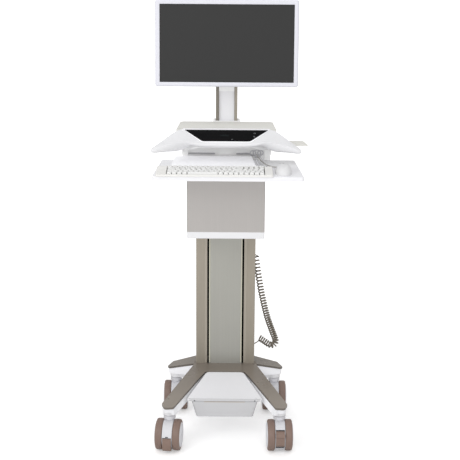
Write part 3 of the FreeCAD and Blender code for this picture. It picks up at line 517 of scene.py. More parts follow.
# how far the sharp edges of the CAD nodes are rounded, in millimetres
SOFTENED = {
    0.4: ["touch_panel", "monitor_screen"],
    0.5: ["base_frame", "shelf_runners"],
    0.6: ["lift_carriage", "tray_rails"],
    0.8: ["caster_sockets", "column_cap", "post_cover", "keyboard_tray", "vesa_plate"],
    1.0: ["base_shell", "battery_lid", "side_housing", "box_trim", "thin_client", "pan_bracket"],
    1.2: ["column_sides", "computer_box"] + ["caster_fork_" + corner for corner in CORNERS],
    1.4: ["side_shelf"],
    1.5: ["battery_pack"],
    1.6: ["power_module", "worksurface", "monitor_slider", "brake_pedal_front_left", "brake_pedal_front_right"],
    1.8: ["base_cover"],
    2.0: ["post_foot", "monitor_back"],
    2.2: ["tray_riser"],
    2.4: ["battery_tub", "post_rails"],
}


def dress_nodes():
    slots = {row["node"]: row["material_slot"] for row in frame["record"]["subparts"]}
    slots.update(OWN_FINISH)
    for name, node in NODES.items():
        node.data.materials.clear()
        node.data.materials.append(MATERIALS[slots[name]])


# base --------------------


def mirror_pair(build, name):
    """The same piece on both sides: build(name, side) is called for left and right."""
    build(name + "_left", -1)
    build(name + "_right", 1)


# under a rear leg, from its tip inwards: x, lowest z, front and back edge
SKIRT_STATIONS = [(240, 160, 192, 206), (230, 148, 188, 226), (205, 142.4, 184, 238), (150, 142.4, 172, 243)]
SKIRT_TOP = 166
SKIRT_DRAFT = 4


def rear_skirt(name, side):
    """Underside of a rear leg, which deepens from the tip towards the hub."""
    stations = []
    for x, low, front, back in SKIRT_STATIONS:
        outline = [(front + SKIRT_DRAFT, low), (front, SKIRT_TOP), (back, SKIRT_TOP), (back - SKIRT_DRAFT, low)]
        stations.append((side * x, outline))
    return soft(strung(name, stations), 0.8, "white_moulding", "base")


# plan of the inner edge of a front leg's cover, tip then hub, and the cover's lower face: z at y = 0 and its slope
LEG_EDGE = (Vector((202.0, -231.0)), Vector((112.0, 1.5)))
LEG_ROOF = (199.6, 0.098)
# how far the flank under that edge spreads out and reaches down, and its stations: place along the edge, spread
FLANK_FLARE = 9.0
FLANK_DROP = 22.0
FLANK_BACK = -9.0
FLANK_STATIONS = ((0.0, 0.35), (0.02, 0.8), (0.05, 1.0), (0.5, 1.0), (1.0, 1.0))


def leg_flank(name, side):
    """Lower side of a front leg, which spreads out under the edge of its cover."""
    tip, hub = LEG_EDGE
    along = (hub - tip).normalized()
    out = Vector((-along.y, along.x))
    rings = []
    for share, spread in FLANK_STATIONS:
        edge = tip.lerp(hub, share)
        top = LEG_ROOF[0] + LEG_ROOF[1] * edge.y
        flare, low = FLANK_FLARE * spread, FLANK_DROP
        section = [(FLANK_BACK, 0), (-0.6, 0), (flare, low), (flare - 1.5, low + 2), (FLANK_BACK, low + 2)]
        spots = [(edge + out * reach, top - drop) for reach, drop in section]
        rings.append([at(side * spot.x, spot.y, z) for spot, z in spots])
    return soft(loft(name, rings), 1.2, "shell_white", "base", 3)


# front face, half width and top of the lid's front edge
LID_LIP = {"front": -151.2, "half": 146.0, "high": 187.4}


def lid_lip():
    """Rolled front edge of the battery lid."""
    profile = ((8, 0), (2, -0.6), (0, -3), (0, -8), (1.5, -9.8), (8, -9.8))
    front, half, high = LID_LIP["front"], LID_LIP["half"], LID_LIP["high"]
    stations = []
    for x, back in ((-half, 4), (-half + 4, 0.6), (-half + 9, 0), (half - 9, 0), (half - 4, 0.6), (half, 4)):
        stations.append((x, [(front + back + depth, high + drop) for depth, drop in profile]))
    return soft(strung("lid_lip", stations), 0.8, "tub_moulding", "base")


def lip_screw(name, side):
    """Small dark screw let into the lid's front edge."""
    centre = at(side * 121, LID_LIP["front"] - 0.5, LID_LIP["high"] - 6)
    profile = [(0.8, 0.3), (2.2, 0.2), (2.8, 0.7), (2.8, 4), (0.8, 4)]
    screw = place(smooth(lathe(name, profile, centre, (0, 1, 0), 32)), "dark_moulding", "base")
    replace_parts(screw, "lid_screws")
    return screw


def tub_grip():
    """Thin grip strip in the finger slot under the lid."""
    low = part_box("battery_tub")[1][2] / MM - 3.0
    fronts = ((-84, -147.5), (-79, -149.4), (79, -149.4), (84, -147.5))
    stations = [(x, rectangle((front, front + 4), (low, low + 2.2))) for x, front in fronts]
    return soft(strung("tub_grip", stations), 0.4, "grip_moulding", "battery_drawer")


def build_base():
    mirror_pair(rear_skirt, "rear_skirt")
    mirror_pair(leg_flank, "leg_flank")
    lid_lip()
    mirror_pair(lip_screw, "lip_screw")
    tub_grip()


# column --------------------

SLOT = {"centre": 72.5, "half": 3.75, "brush": 2.1, "depth": 7.0, "low": 224.0, "high": 1099.0}


def slot_brush(name, side):
    """Pair of black brush strips that close a lift slot, parted for the carriage arm."""
    strips = []
    for inner in (-1, 1):
        outside = SLOT["centre"] + inner * SLOT["half"]
        inside = outside - inner * SLOT["brush"]
        xs = sorted((side * outside, side * inside))
        y = COLUMN_FRONT + SLOT["depth"]
        strips.append(cuboid(name + "_strip", (xs[0], y, SLOT["low"]), (xs[1], y + 4, SLOT["high"])))
    return soft(merged(name, strips), 0.3, "brush_black", "base")


# name, finish and the two sides of the drawn edges beside a lift slot; their paler metal is a painted highlight
TRIMS = (("inner", "highlight_aluminium", 63.4, 68.7), ("outer", "edge_highlight_aluminium", 76.3, 87.0))


def slot_trim(name, side):
    """Drawn edges on both sides of a lift slot, in paler metal as a painted highlight, the inner one brightest."""
    for part, finish, start, end in TRIMS:
        profile = [(start, 0.5), (start + 0.6, -0.7), (end - 0.7, -0.7), (end, 0.1), (end, 2.5), (start, 2.5)]
        ends = (SLOT["low"] + 3, SLOT["high"])
        rings = [[at(side * x, COLUMN_FRONT + depth, z) for x, depth in profile] for z in ends]
        place(loft(name + "_" + part, rings), finish, "base")


def slot_shadow(name, side):
    """Black sheet inside the column behind a slot, a painted shadow that darkens the slot."""
    xs = sorted((side * 62, side * 118))
    shade_sheet = cuboid(name, (xs[0], 231.4, SLOT["low"]), (xs[1], 232.6, SLOT["high"]))
    bevel(shade_sheet, 0.2, 1)
    return place(shade_sheet, "brush_black", "base")


def panel_screw(name, centre, axis, body, slot="zinc_steel", radius=3.4):
    """Low button-head screw with a hexagon socket."""
    head = [(0.02, 1.6), (radius * 0.6, 1.5), (radius * 0.9, 0.9), (radius, 0), (0.02, -0.5)]
    screw = lathe(name, head, centre, axis, 36)
    clean(screw.data)
    key = radius * 0.42
    socket = lathe(name + "_socket", [(0.02, 0.7), (key, 0.7), (key, 2.4), (0.02, 2.4)], centre, axis, 6)
    return place(smooth(cut(screw, socket)), slot, body)


def back_screws():
    """Screws of the rear panel; the power module covers the place of the lowest one on the right."""
    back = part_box("column_back")[1][1]
    for row, z in enumerate((250, 520, 790, 1075)):
        for side in (-1, 1):
            if row == 0 and side == 1:
                continue
            centre = Vector((at(side * 58, 0, 0).x, back, z * MM))
            panel_screw("back_screw_%d_%s" % (row, "lr"[side > 0]), centre, (0, 1, 0), "base")


def power_details():
    """Inlet, switch and vents on the power module."""
    y = COLUMN_FRONT + COLUMN_DEPTH
    frame_piece = cuboid("inlet_frame", (-46, y - 1, 266), (-4, y + 1.6, 314))
    hole = cuboid("inlet_hole", (-41, y - 6, 271), (-9, y + 4, 309))
    soft(cut(frame_piece, hole), 0.8, "dark_rubber", "base")
    socket = cuboid("inlet_core", (-40, y - 1.5, 272), (-10, y + 0.2, 308))
    soft(socket, 2.0, "dark_moulding", "base", 3)
    rings = []
    for z, bulge in ((276, 3.2), (290, 1.2), (304, 2.2)):
        rings.append([at(px, py, z) for px, py in rectangle((14, 34), (y - 1, y + bulge))])
    soft(loft("power_switch", rings), 0.6, "dark_rubber", "base")
    starts = range(48, 96, 6)
    slits = [cuboid("module_slit", (x, y - 1, 272), (x + 3, y + 0.3, 308)) for x in starts]
    place(merged("module_vents", slits), "brush_black", "base")


def build_column():
    mirror_pair(slot_brush, "slot_brush")
    mirror_pair(slot_trim, "slot_trim")
    mirror_pair(slot_shadow, "slot_shadow_sheet")
    back_screws()
    power_details()


# cord --------------------

# middle line of the coil (x, z) from its top to the module, how far back it hangs, and its coil and wire radius
CORD_PATH = [
    (127, 664), (138, 590), (154, 500), (178, 400), (202, 330),
    (216, 292), (212, 272), (194, 268), (168, 285), (146, 300),
]
CORD_DEPTH = 252.0
CORD_RADIUS = 11.5
CORD_WIRE = 3.2
CORD_STEPS = 1100


def coil_pitch(share):
    """Distance between the cord's turns: open at the top, gathered round the bottom loop."""
    return max(16.5 - 10.5 * share, 9.8)


def smooth_path(knots, steps):
    """Points evenly spread along a Catmull-Rom curve through the knots."""
    ends = [2 * knots[0] - knots[1]] + knots + [2 * knots[-1] - knots[-2]]
    dense = []
    for i in range(1, len(ends) - 2):
        a, b, c, d = ends[i - 1:i + 3]
        for k in range(24):
            t = k / 24
            bend = (2 * a - 5 * b + 4 * c - d) * t * t + (3 * b - a - 3 * c + d) * t ** 3
            dense.append((2 * b + (c - a) * t + bend) / 2)
    dense.append(knots[-1])
    lengths = [0.0]
    for before, after in zip(dense, dense[1:]):
        lengths.append(lengths[-1] + (after - before).length)
    points = []
    index = 0
    for k in range(steps + 1):
        want = lengths[-1] * k / steps
        while index < len(dense) - 2 and lengths[index + 1] < want:
            index += 1
        share = (want - lengths[index]) / (lengths[index + 1] - lengths[index])
        points.append(dense[index].lerp(dense[index + 1], share))
    return points


def coil_cord():
    """Coiled cord with open turns, gathered round the bottom loop, and its straight ends."""
    spine = smooth_path([Vector((x, CORD_DEPTH, z)) for x, z in CORD_PATH], CORD_STEPS)
    wire = []
    turn = 0.0
    for i in range(1, len(spine) - 1):
        before, point, after = spine[i - 1:i + 2]
        turn += 2 * math.pi * (point - before).length / coil_pitch(i / len(spine))
        out = (after - before).normalized().cross(Vector((0, 1, 0))).normalized()
        swing = (out * math.cos(turn) + Vector((0, 1, 0)) * math.sin(turn)) * CORD_RADIUS
        wire.append(tuple(point + swing))
    cord = cable("coil_cord", wire, CORD_WIRE, "cord_jacket", "base", 8, 1)
    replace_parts(cord, "power_cord")
    back = CORD_DEPTH - 4
    lead = [wire[-1], (146, CORD_DEPTH, 288), (132, back, 276), (108, back, 268), (98, back, 268)]
    cable("cord_lead", lead, 2.2, "cord_jacket", "base")
    cable("cord_tail", [(104, back, 680), (112, CORD_DEPTH, 682), wire[0]], 2.2, "cord_jacket", "base")


# head --------------------

PANEL_SLOPE = 0.4923
PANEL_TOP = (-105.0, 1275.0)


def on_slope(y, down=0.0):
    """Point (y, z) on the head's sloping front, lowered by down."""
    return (y, PANEL_TOP[1] + PANEL_SLOPE * min(y - PANEL_TOP[0], 0.0) - down)


# outline of the head's front at stations along X: rear edge, two points down the slope, nose, lip, then back under
FLAT_FRONT = [(-101, 1275), on_slope(-140), on_slope(-173), (-183, 1235),
              (-184, 1226), (-176, 1220), (-135, 1220), (-101, 1224)]
FRONT_STATIONS = [
    (0, FLAT_FRONT),
    (60, FLAT_FRONT),
    (105, [(-101, 1275), on_slope(-140), on_slope(-172), (-182, 1237),
           (-183, 1228), (-174, 1222), (-133, 1223), (-101, 1228)]),
    (128, [(-101, 1275), on_slope(-140), on_slope(-170), (-180, 1240),
           (-181, 1232), (-170, 1229), (-131, 1230), (-101, 1236)]),
    (150, [(-101, 1275), (-136, 1260), (-162, 1250), (-175, 1246),
           (-173, 1235), (-152, 1216), (-128, 1208), (-102, 1240)]),
    (177, [(-101, 1276.5), (-138, 1257), (-165, 1246), (-180, 1240),
           (-174, 1219), (-156, 1198), (-130, 1199), (-105, 1240)]),
    (205, [(-119, 1263.5), (-145, 1250), (-172, 1240), (-188, 1235),
           (-185, 1211), (-166, 1198), (-142, 1206), (-122, 1244)]),
    (235, [(-144, 1244), (-163, 1239), (-182, 1234), (-194, 1230),
           (-193, 1208), (-178, 1201), (-160, 1208), (-147, 1232)]),
    (262, [(-167, 1228), (-178, 1227), (-189, 1225), (-199, 1220),
           (-199, 1206), (-188, 1199), (-175, 1205), (-169, 1217)]),
    (277, [(-179, 1220), (-185, 1220), (-191, 1218), (-198, 1214),
           (-198, 1205), (-189, 1200), (-181, 1203), (-179, 1210)]),
    (283, [(-182, 1216), (-186, 1216), (-191, 1215), (-195, 1212),
           (-194, 1206), (-189, 1203), (-184, 1205), (-182, 1210)]),
]


def station_rings(stations):
    """Rings for both halves of a symmetric row of stations, left to right."""
    left = [(-x, outline) for x, outline in reversed(stations) if x > 0]
    return [[at(x, y, z) for y, z in outline] for x, outline in left + stations]


def panel_prism(name, margin, low, high):
    """Prism on the touch panel's outline, grown by margin, between two depths below the slope."""
    top_y, low_y = PANEL_TOP[0] + margin, -170.0 - margin
    top_half, low_half = 161 + margin, 90 + margin
    outline = rounded([(-top_half, top_y, 2), (top_half, top_y, 2), (low_half, low_y, 18), (-low_half, low_y, 18)])
    rings = []
    for depth in (low, high):
        rings.append([at(x, y, PANEL_TOP[1] + PANEL_SLOPE * (y - PANEL_TOP[0]) - depth) for x, y in outline])
    return loft(name, rings)


def head_front():
    """Sloping front with the panel's recess, drawn out on both sides into a grip."""
    rings = station_rings(FRONT_STATIONS)
    front = loft("head_front", rings)
    crease(front, [ring[0] for ring in rings], 1.0)
    crease(front, [ring[3] for ring in rings], 0.8)
    smooth(front, 3)
    applied(front)
    cut(front, panel_prism("panel_tool", 0.25, 3.2, -12.0))
    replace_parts(place(smooth(front), "white_moulding", "head"), "head_shell")
    front.data.set_sharp_from_angle(angle=math.radians(35))


# the belly behind the front: four points from the top down the front wall to its foot, then round the back
FLAT_BELLY = [(-104, 1262), (-150, 1238), (-174, 1221.5), (-96, 1203)]
BODY_BACK = [(-89, 1219.5), (67, 1219.5), (67, 1262.6)]
BODY_STATIONS = [
    (0, FLAT_BELLY + BODY_BACK),
    (70, FLAT_BELLY + BODY_BACK),
    (103, [(-104, 1262), (-148, 1238), (-171, 1220), (-96, 1203)] + BODY_BACK),
    (126, [(-103, 1262), (-132, 1244), (-146, 1207), (-96, 1201)] + BODY_BACK),
    (148, [(-102, 1262), (-112, 1252), (-116, 1199), (-93, 1199), (-88, 1219.5), (66, 1219.5), (66, 1262.6)]),
    (168, [(-100, 1262), (-103, 1256), (-99, 1197), (-91, 1195), (-88, 1219.5), (64, 1219.5), (64, 1262.6)]),
    (177, [(-94, 1262), (-96, 1257), (-93, 1199), (-90, 1198), (-88, 1219.5), (61, 1219.5), (61, 1262.6)]),
]


def head_body():
    """Housing under the worksurface, with a belly that falls away behind the front lip."""
    body = loft("head_body", station_rings(BODY_STATIONS))
    bevel(body, 1.5, 3, 25)
    return place(smooth(body), "underside_moulding", "head")


def surface_rim():
    """Low raised edge along the front of the worksurface."""
    foot = 1263
    profile = [(-100.2, foot), (-100.2, 1279), (-101.2, 1280.2), (-102.8, 1280.2)]
    profile += [(-104, 1279), (-104.4, 1275.2), (-104.4, foot)]
    ends = ((-168, 3.5), (-162, 0), (162, 0), (168, 3.5))
    stations = [(x, [(y, max(z - drop, foot)) for y, z in profile]) for x, drop in ends]
    return soft(strung("surface_rim", stations), 0.6, "white_moulding", "head")


def panel_rim():
    """Thin frame round the touch panel; its paler white is a painted highlight."""
    rim = panel_prism("panel_rim", 3.4, 1.0, -0.5)
    hole = panel_prism("rim_tool", 0.15, 3.0, -4.0)
    return soft(cut(rim, hole), 0.3, "highlight_rim_white", "head")


def ring_mark(name, x, y):
    """Thin ring that marks a touch key."""
    radius, width = 3.4, 0.5
    normal = Vector((0, -PANEL_SLOPE, 1))
    profile = [(radius - width, 0), (radius + width, 0), (radius + width, 0.12), (radius - width, 0.12)]
    return place(lathe(name, profile, at(x, *on_slope(y, -0.05)), normal, 40), "mark_grey", "head")


def panel_patch(name, xs, ys, proud):
    """Thin rectangle that lies on the touch panel."""
    corners = rectangle(xs, ys)
    return loft(name, [[at(x, *on_slope(y, lift)) for x, y in corners] for lift in (0.05, -proud)])


def panel_marks():
    """Two touch keys, a status mark and the dim display window in the middle."""
    place(panel_patch("panel_display", (-24, 11), (-141, -132), 0.1), "display_glow", "head")
    ring_mark("touch_ring", 108, -124)
    ring_mark("touch_ring_low", 106, -142)
    for name, x, y, half in (("touch_bar", 106, -142, 1.6), ("status_bar", 22, -158, 2.2)):
        bar = panel_patch(name, (x - half, x + half), (y - 1.2, y + 1.2), 0.12)
        place(bevel(bar, 0.05, 1), "mark_grey", "head")


def bay_clip():
    """Folded clip and two ledges on the rear wall of the bay."""
    outline = [(108, 1126), (84, 1130), (84, 1142), (88, 1142), (90, 1135), (108, 1131)]
    soft(strung("bay_clip", [(-28, outline), (20, outline)]), 1.0, "grey_enamel", "head")
    for number, (start, end) in enumerate(((-152, -46), (40, 96))):
        ledge = cuboid("bay_ledge_%d" % number, (start, 94, 1138), (end, 108, 1142))
        soft(ledge, 1.0, "seam_grey", "head")


# loops of spare cable in the bay: centre x, y, z, radius and how far each leans back
BAY_LOOPS = [(106, 78, 1146, 12, 0.1), (122, 90, 1145, 15, -0.25), (136, 82, 1147, 11, 0.3)]


def stowed_cables():
    """Loops of cable and a plug stowed at the right of the bay."""
    for number, (x, y, z, radius, lean) in enumerate(BAY_LOOPS):
        loop = []
        for step in range(20):
            turn = 2 * math.pi * step / 16
            rise = radius * math.sin(turn)
            loop.append((x + radius * math.cos(turn), y + lean * rise + step * 0.3, z + rise * 0.9))
        cable("bay_loop_%d" % number, loop, 2.0, "white_cable", "head")
    run = [(66, 98, 1140), (84, 84, 1148), (100, 74, 1142), (120, 68, 1136), (138, 76, 1144)]
    cable("bay_run", run, 2.4, "white_cable", "head")
    rings = []
    for forward in (0, 4, 10):
        x, y = 112 + forward, 66 + forward * 2
        rings.append([at(x, y, 1130), at(x + 16, y - 4, 1130), at(x + 16, y - 4, 1140), at(x, y, 1140)])
    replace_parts(soft(loft("bay_plug", rings), 2.0, "white_cable", "head", 3), "cable_bundle")


def box_vents():
    """Five slits on each side of the computer box."""
    low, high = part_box("computer_box")
    margin = 60 * MM
    ys = (low[1] + margin, high[1] - margin)
    slits = []
    for side, x in ((-1, low[0]), (1, high[0])):
        xs = sorted((x - side * MM, x + side * 0.4 * MM))
        for row in range(5):
            z = (930 + 14 * row) * MM
            section = rectangle(xs, (z, z + 4 * MM))
            slits.append(loft("vent", [[Vector((px, y, pz)) for px, pz in section] for y in ys]))
    place(merged("box_vents", slits), "brush_black", "head")


def build_head():
    head_front()
    head_body()
    surface_rim()
    panel_rim()
    panel_marks()
    bay_clip()
    stowed_cables()
    box_vents()


# keyboard tray --------------------

TRAY_TOP = 1139.0
KEY_PITCH = 19.05
KEY_LEFT = -219.0
KEY_FRONT = -307.0
KEY_COLUMNS = 19
KEY_TOP = 15.0
KEY_STEP = 1.5
KEY_CAP = (16.4, 12.6)


def keycap(x, y, width, top):
    """Tapered cap with a flat top, one quad deep in each direction."""
    wide, narrow = KEY_CAP
    tuck = (wide - narrow) / 2
    half_gap = (KEY_PITCH - wide) / 2
    base = TRAY_TOP + 7.0
    rings = []
    for z, inset, lean in ((base, 0, 0), (base + 3, 0.4, 0), (top - 1.0, tuck - 0.5, 0.6), (top, tuck + 0.3, 0.8)):
        x0, x1 = x + half_gap + inset, x + width - half_gap - inset
        y0, y1 = y + half_gap + inset + lean, y + KEY_PITCH - half_gap - inset + lean * 0.6
        rings.append([at(px, py, z) for px, py in rectangle((x0, x1), (y0, y1))])
    return loft("cap", rings)


# width of the keys that are not one pitch wide, by row and place in the row
WIDE_KEYS = {0: {4: 6.0}, 1: {0: 2.25, 12: 2.0}, 2: {0: 1.75, 12: 2.0}, 3: {0: 1.5, 13: 1.5}, 4: {13: 2.0}}


def keyboard_caps():
    """Five rows of caps, each row a little higher than the one in front."""
    caps = []
    for row, wide in WIDE_KEYS.items():
        y = KEY_FRONT + row * KEY_PITCH
        top = TRAY_TOP + KEY_TOP + KEY_STEP * row
        start = 0.0
        place_in_row = 0
        while KEY_COLUMNS - start > 0.5:
            span = min(wide.get(place_in_row, 1.0), KEY_COLUMNS - start)
            caps.append(keycap(KEY_LEFT + start * KEY_PITCH, y, span * KEY_PITCH, top))
            start += span
            place_in_row += 1
    keys = merged("key_caps", caps)
    bevel(keys, 0.5, 2, 20)
    place(smooth(keys), "key_plastic", "keyboard_drawer")
    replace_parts(keys, "keyboard_keys")


KEYBOARD_X = (-259, 174)
KEYBOARD_Y = (-317.6, -204)


def key_field(name, margin, low, high):
    """Block over the whole key field, grown by margin in X and a little less in Y."""
    right = KEY_LEFT + KEY_COLUMNS * KEY_PITCH
    back = KEY_FRONT + len(WIDE_KEYS) * KEY_PITCH
    front_corner = (KEY_LEFT - margin, KEY_FRONT - margin + 0.5, TRAY_TOP + low)
    return cuboid(name, front_corner, (right + margin, back + margin - 0.5, TRAY_TOP + high))


def keyboard_body():
    """Rounded keyboard case with a raised rim round the key field."""
    (x0, x1), (y0, y1) = KEYBOARD_X, KEYBOARD_Y
    middle_x, middle_y = (x0 + x1) / 2, (y0 + y1) / 2
    outline = rounded([(x0, y0, 7), (x1, y0, 7), (x1, y1, 5), (x0, y1, 5)])
    rings = []
    for share, inset in ((0.0, 1.2), (0.12, 0.0), (0.8, 0.0), (1.0, 1.6)):
        ring = []
        for x, y in outline:
            top = 7.5 + 9.5 * (y - y0) / (y1 - y0)
            px = middle_x + (x - middle_x) * (1 - inset / 216)
            py = middle_y + (y - middle_y) * (1 - inset / 57)
            ring.append(at(px, py, TRAY_TOP + 0.4 + (top - 0.4) * share))
        rings.append(ring)
    case = cut(loft("keyboard_shell", rings), key_field("key_well", 1.5, 5.5, 40))
    soft(case, 0.7, "keyboard_plastic", "keyboard_drawer")
    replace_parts(case, "keyboard_case")
    place(key_field("key_bed", 1.0, 5.4, 7.2), "key_shadow", "keyboard_drawer")
    lamp = [(0.02, 0.0), (1.3, 0.0), (1.0, 0.6), (0.02, 0.7)]
    lamps = [lathe("lamp", lamp, at(x, -208.5, TRAY_TOP + 17.0), (0, 0, 1), 20) for x in (134, 143, 152)]
    place(smooth(merged("keyboard_lamps", lamps)), "mark_grey", "keyboard_drawer")


# the mouse's middle and half size, height and front end of the step under its keys, half the gap for the wheel
MOUSE = {
    "x": 214.5, "y": -243.0, "half_x": 31.0, "half_y": 53.0, "height": 35.0,
    "floor": 15.0, "start": 6.0, "split": 4.6,
}


def mouse_form(name):
    """Closed dome, squarer in plan and side view than an ellipsoid."""
    plan_power, side_power = 2.5, 2.3
    rings = []
    levels, turns = 18, 56
    for i in range(levels + 1):
        rise = math.pi / 2 * i / levels
        reach = max(math.cos(rise), 0.02) ** (2 / side_power)
        height = math.sin(rise) ** (2 / side_power) * MOUSE["height"]
        ring = []
        for j in range(turns):
            turn = 2 * math.pi * j / turns
            c, s = math.cos(turn), math.sin(turn)
            px = math.copysign(abs(c) ** (2 / plan_power), c) * MOUSE["half_x"] * reach
            py = math.copysign(abs(s) ** (2 / plan_power), s) * MOUSE["half_y"] * reach
            ring.append(at(MOUSE["x"] + px, MOUSE["y"] + py, TRAY_TOP + height))
        rings.append(ring)
    return loft(name, rings)


def mouse():
    """Mouse body, its two keys and the scroll wheel."""
    x, start = MOUSE["x"], MOUSE["y"] + MOUSE["start"]
    low = TRAY_TOP + MOUSE["floor"]
    body = mouse_form("mouse_body")
    cut(body, cuboid("tool", (x - 60, start, low), (x + 60, start + 90, low + 60)))
    wheel_place = at(x, MOUSE["y"] + 26, TRAY_TOP + 22)
    cut(body, lathe("tool", [(0.02, -4.2), (9.8, -4.2), (9.8, 4.2), (0.02, 4.2)], wheel_place, (1, 0, 0), 40))
    soft(body, 0.4, "mouse_plastic", "keyboard_drawer")
    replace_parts(body, "mouse_shell")
    for name, side in (("left", -1), ("right", 1)):
        key = mouse_form("mouse_key_" + name)
        xs = sorted((x + side * MOUSE["split"], x + side * 60))
        cut(key, cuboid("tool", (xs[0], start + 0.6, low + 1.5), (xs[1], start + 90, low + 60)), "INTERSECT")
        soft(key, 0.6, "mouse_plastic", "mouse_" + name + "_key")
        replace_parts(key, "mouse_button_" + name)
    tread = [(8.4, -3.3), (9.0, -2.2), (9.0, 2.2), (8.4, 3.3), (3.0, 3.3), (3.0, -3.3)]
    wheel = lathe("scroll_wheel", tread, wheel_place, (1, 0, 0), 48)
    place(smooth(wheel), "dark_rubber", "mouse_scroll_wheel")
    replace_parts(wheel, "mouse_wheel")
    front, back = MOUSE["y"] - 46, MOUSE["y"] + 46
    foot = rounded([(x - 25, front, 14), (x + 25, front, 14), (x + 25, back, 14), (x - 25, back, 14)])
    sole = loft("mouse_sole", [[at(px, py, z) for px, py in foot] for z in (TRAY_TOP + 0.05, TRAY_TOP + 1.4)])
    place(sole, "dark_rubber", "keyboard_drawer")


# leads on the tray: radius, finish and points with their height over the tray
LEADS = {
    "mouse_lead": (2.1, "lead_grey", [(212, -190, 8), (206, -182, 9), (188, -168, 5), (164, -140, 4),
                                      (144, -108, 6), (128, -70, 16), (118, -34, 26)]),
    "keyboard_lead": (2.1, "white_cable", [(124, -204, 9), (126, -186, 6), (130, -150, 4),
                                           (124, -104, 8), (112, -60, 20)]),
    "spare_lead": (1.8, "white_cable", [(150, -168, 4), (158, -140, 3), (150, -108, 5),
                                        (136, -60, 14), (128, -30, 22)]),
}
# sections of the adapter: x, half depth, bottom and top over the tray
ADAPTER = ((122, 7, 1.2, 8), (128, 11, 0.2, 12), (148, 11, 0.2, 12), (154, 7, 1.2, 8))
ADAPTER_Y = -179


def tray_leads():
    """Leads of the mouse and the keyboard on the tray, and the adapter between them."""
    for name, (radius, finish, points) in LEADS.items():
        cable(name, [(x, y, TRAY_TOP + rise) for x, y, rise in points], radius, finish, "keyboard_drawer")
    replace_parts(bpy.data.objects["mouse_lead"], "tray_cables")
    stations = []
    for x, half, low, high in ADAPTER:
        stations.append((x, rectangle((ADAPTER_Y - half, ADAPTER_Y + half), (TRAY_TOP + low, TRAY_TOP + high))))
    soft(strung("adapter", stations), 1.6, "white_moulding", "keyboard_drawer", 3)


def build_tray():
    keyboard_caps()
    keyboard_body()
    mouse()
    tray_leads()


# monitor --------------------

MONITOR_Z = 1584.5
MONITOR_TILT = math.radians(-6.0)
TILT_AXIS_Y = 50.0
MONITOR_HALF = (274.5, 164.75)


def on_monitor(x, y, z):
    """Frame place of a point drawn on the upright monitor, leaned back like the monitor."""
    out, up = y - TILT_AXIS_Y, z
    lean_y = out * math.cos(MONITOR_TILT) - up * math.sin(MONITOR_TILT)
    lean_z = out * math.sin(MONITOR_TILT) + up * math.cos(MONITOR_TILT)
    return at(x, TILT_AXIS_Y + lean_y, MONITOR_Z + lean_z)


def monitor_frame(name, layers, slot):
    """Picture-frame moulding: layers are (y, outer inset, outer radius) then the same back along the window."""
    rings = []
    for y, inset, radius in layers:
        half_x, half_z = MONITOR_HALF[0] - inset, MONITOR_HALF[1] - inset
        corners = rectangle((-half_x, half_x), (-half_z, half_z))
        outline = rounded([(x, z, radius) for x, z in corners], 8)
        rings.append([on_monitor(x, y, z) for x, z in outline])
    return place(smooth(loft(name, rings, closed=True)), slot, "monitor")


def monitor_front():
    """Bezel with a flat face, a rolled outer edge and a small step down to the screen."""
    layers = [
        (11.9, 0.0, 9.0), (4, 0.0, 9.0), (0, 0.6, 8.6), (-2.2, 1.9, 7.6), (-3.5, 3.6, 6.4), (-4, 5.8, 5.2),
        (-4.0, 16.0, 1.6), (-3.6, 16.9, 1.2), (-1.2, 17.4, 0.9), (3, 17.4, 0.9), (11.9, 17.4, 0.9),
    ]
    bezel = monitor_frame("bezel_frame", layers, "monitor_plastic")
    bezel.data.set_sharp_from_angle(angle=math.radians(50))
    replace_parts(bezel, "monitor_bezel")
    gasket = [(0.5, 17.2, 0.9), (-1.2, 17.2, 0.9), (-1.3, 18.9, 0.8), (0.5, 19.0, 0.8)]
    monitor_frame("screen_gasket", gasket, "gasket_black")


def monitor_block(name, outline, ys):
    """Prism with an outline (x, z) between two depths of the monitor."""
    return loft(name, [[on_monitor(x, y, z) for x, z in outline] for y in ys])


def monitor_rear():
    """Rear details: vent slots, the bay with its sockets and the four plate screws."""
    slits = []
    for side in (-1, 1):
        for i in range(9):
            x = side * (40 + 11 * i)
            slits.append(monitor_block("slit", rectangle((x - 2.2, x + 2.2), (60, 88)), (34.0, 35.35)))
    place(merged("monitor_vents", slits), "brush_black", "monitor")
    bay = monitor_block("monitor_port_bay", [(-74, -96), (74, -96), (66, -72), (-66, -72)], (33.6, 35.3))
    place(bay, "dark_moulding", "monitor")
    sockets = []
    for x, half in ((-48, 9), (-17, 7), (14, 10), (45, 4)):
        sockets.append(monitor_block("port", rectangle((x - half, x + half), (-89, -80)), (35.0, 36.6)))
    soft(merged("monitor_ports", sockets), 0.6, "zinc_steel", "monitor")
    normal = on_monitor(0, 60, 0) - on_monitor(0, 50, 0)
    for number, (x, z) in enumerate(((-50, -50), (50, -50), (50, 50), (-50, 50))):
        panel_screw("plate_screw_%d" % number, on_monitor(x, 38, z), normal, "monitor", radius=4.2)


def build_monitor():
    monitor_front()
    monitor_rear()


# casters --------------------

HOOD_HALF = 20.0
# outlines (radius, distance from the hood) of a wheel's tread and of its hub cover
TREAD = [
    (49.2, 0.6), (56, 0.4), (60.4, 1.6), (62.1, 4.5), (62.5, 9), (62.5, 20),
    (62.0, 24), (60.0, 27.2), (56.5, 28.8), (52, 29.2), (49.2, 28.6),
]
HUB_COVER = [
    (5.2, 2), (49, 2), (49, 28.2), (48.4, 30.2), (47, 31.4), (45.4, 31.8), (44, 31.2), (43.2, 30.0), (41, 29.8),
    (30, 31.0), (20, 31.8), (16, 31.9), (15.2, 31.2), (14.2, 31.2), (13.4, 32), (5.2, 32),
]
NECK_RING = [(23.0, 0), (24.8, 0.3), (24.8, 1.5), (23.0, 1.8)]
NECK_RING_Z = 139.4
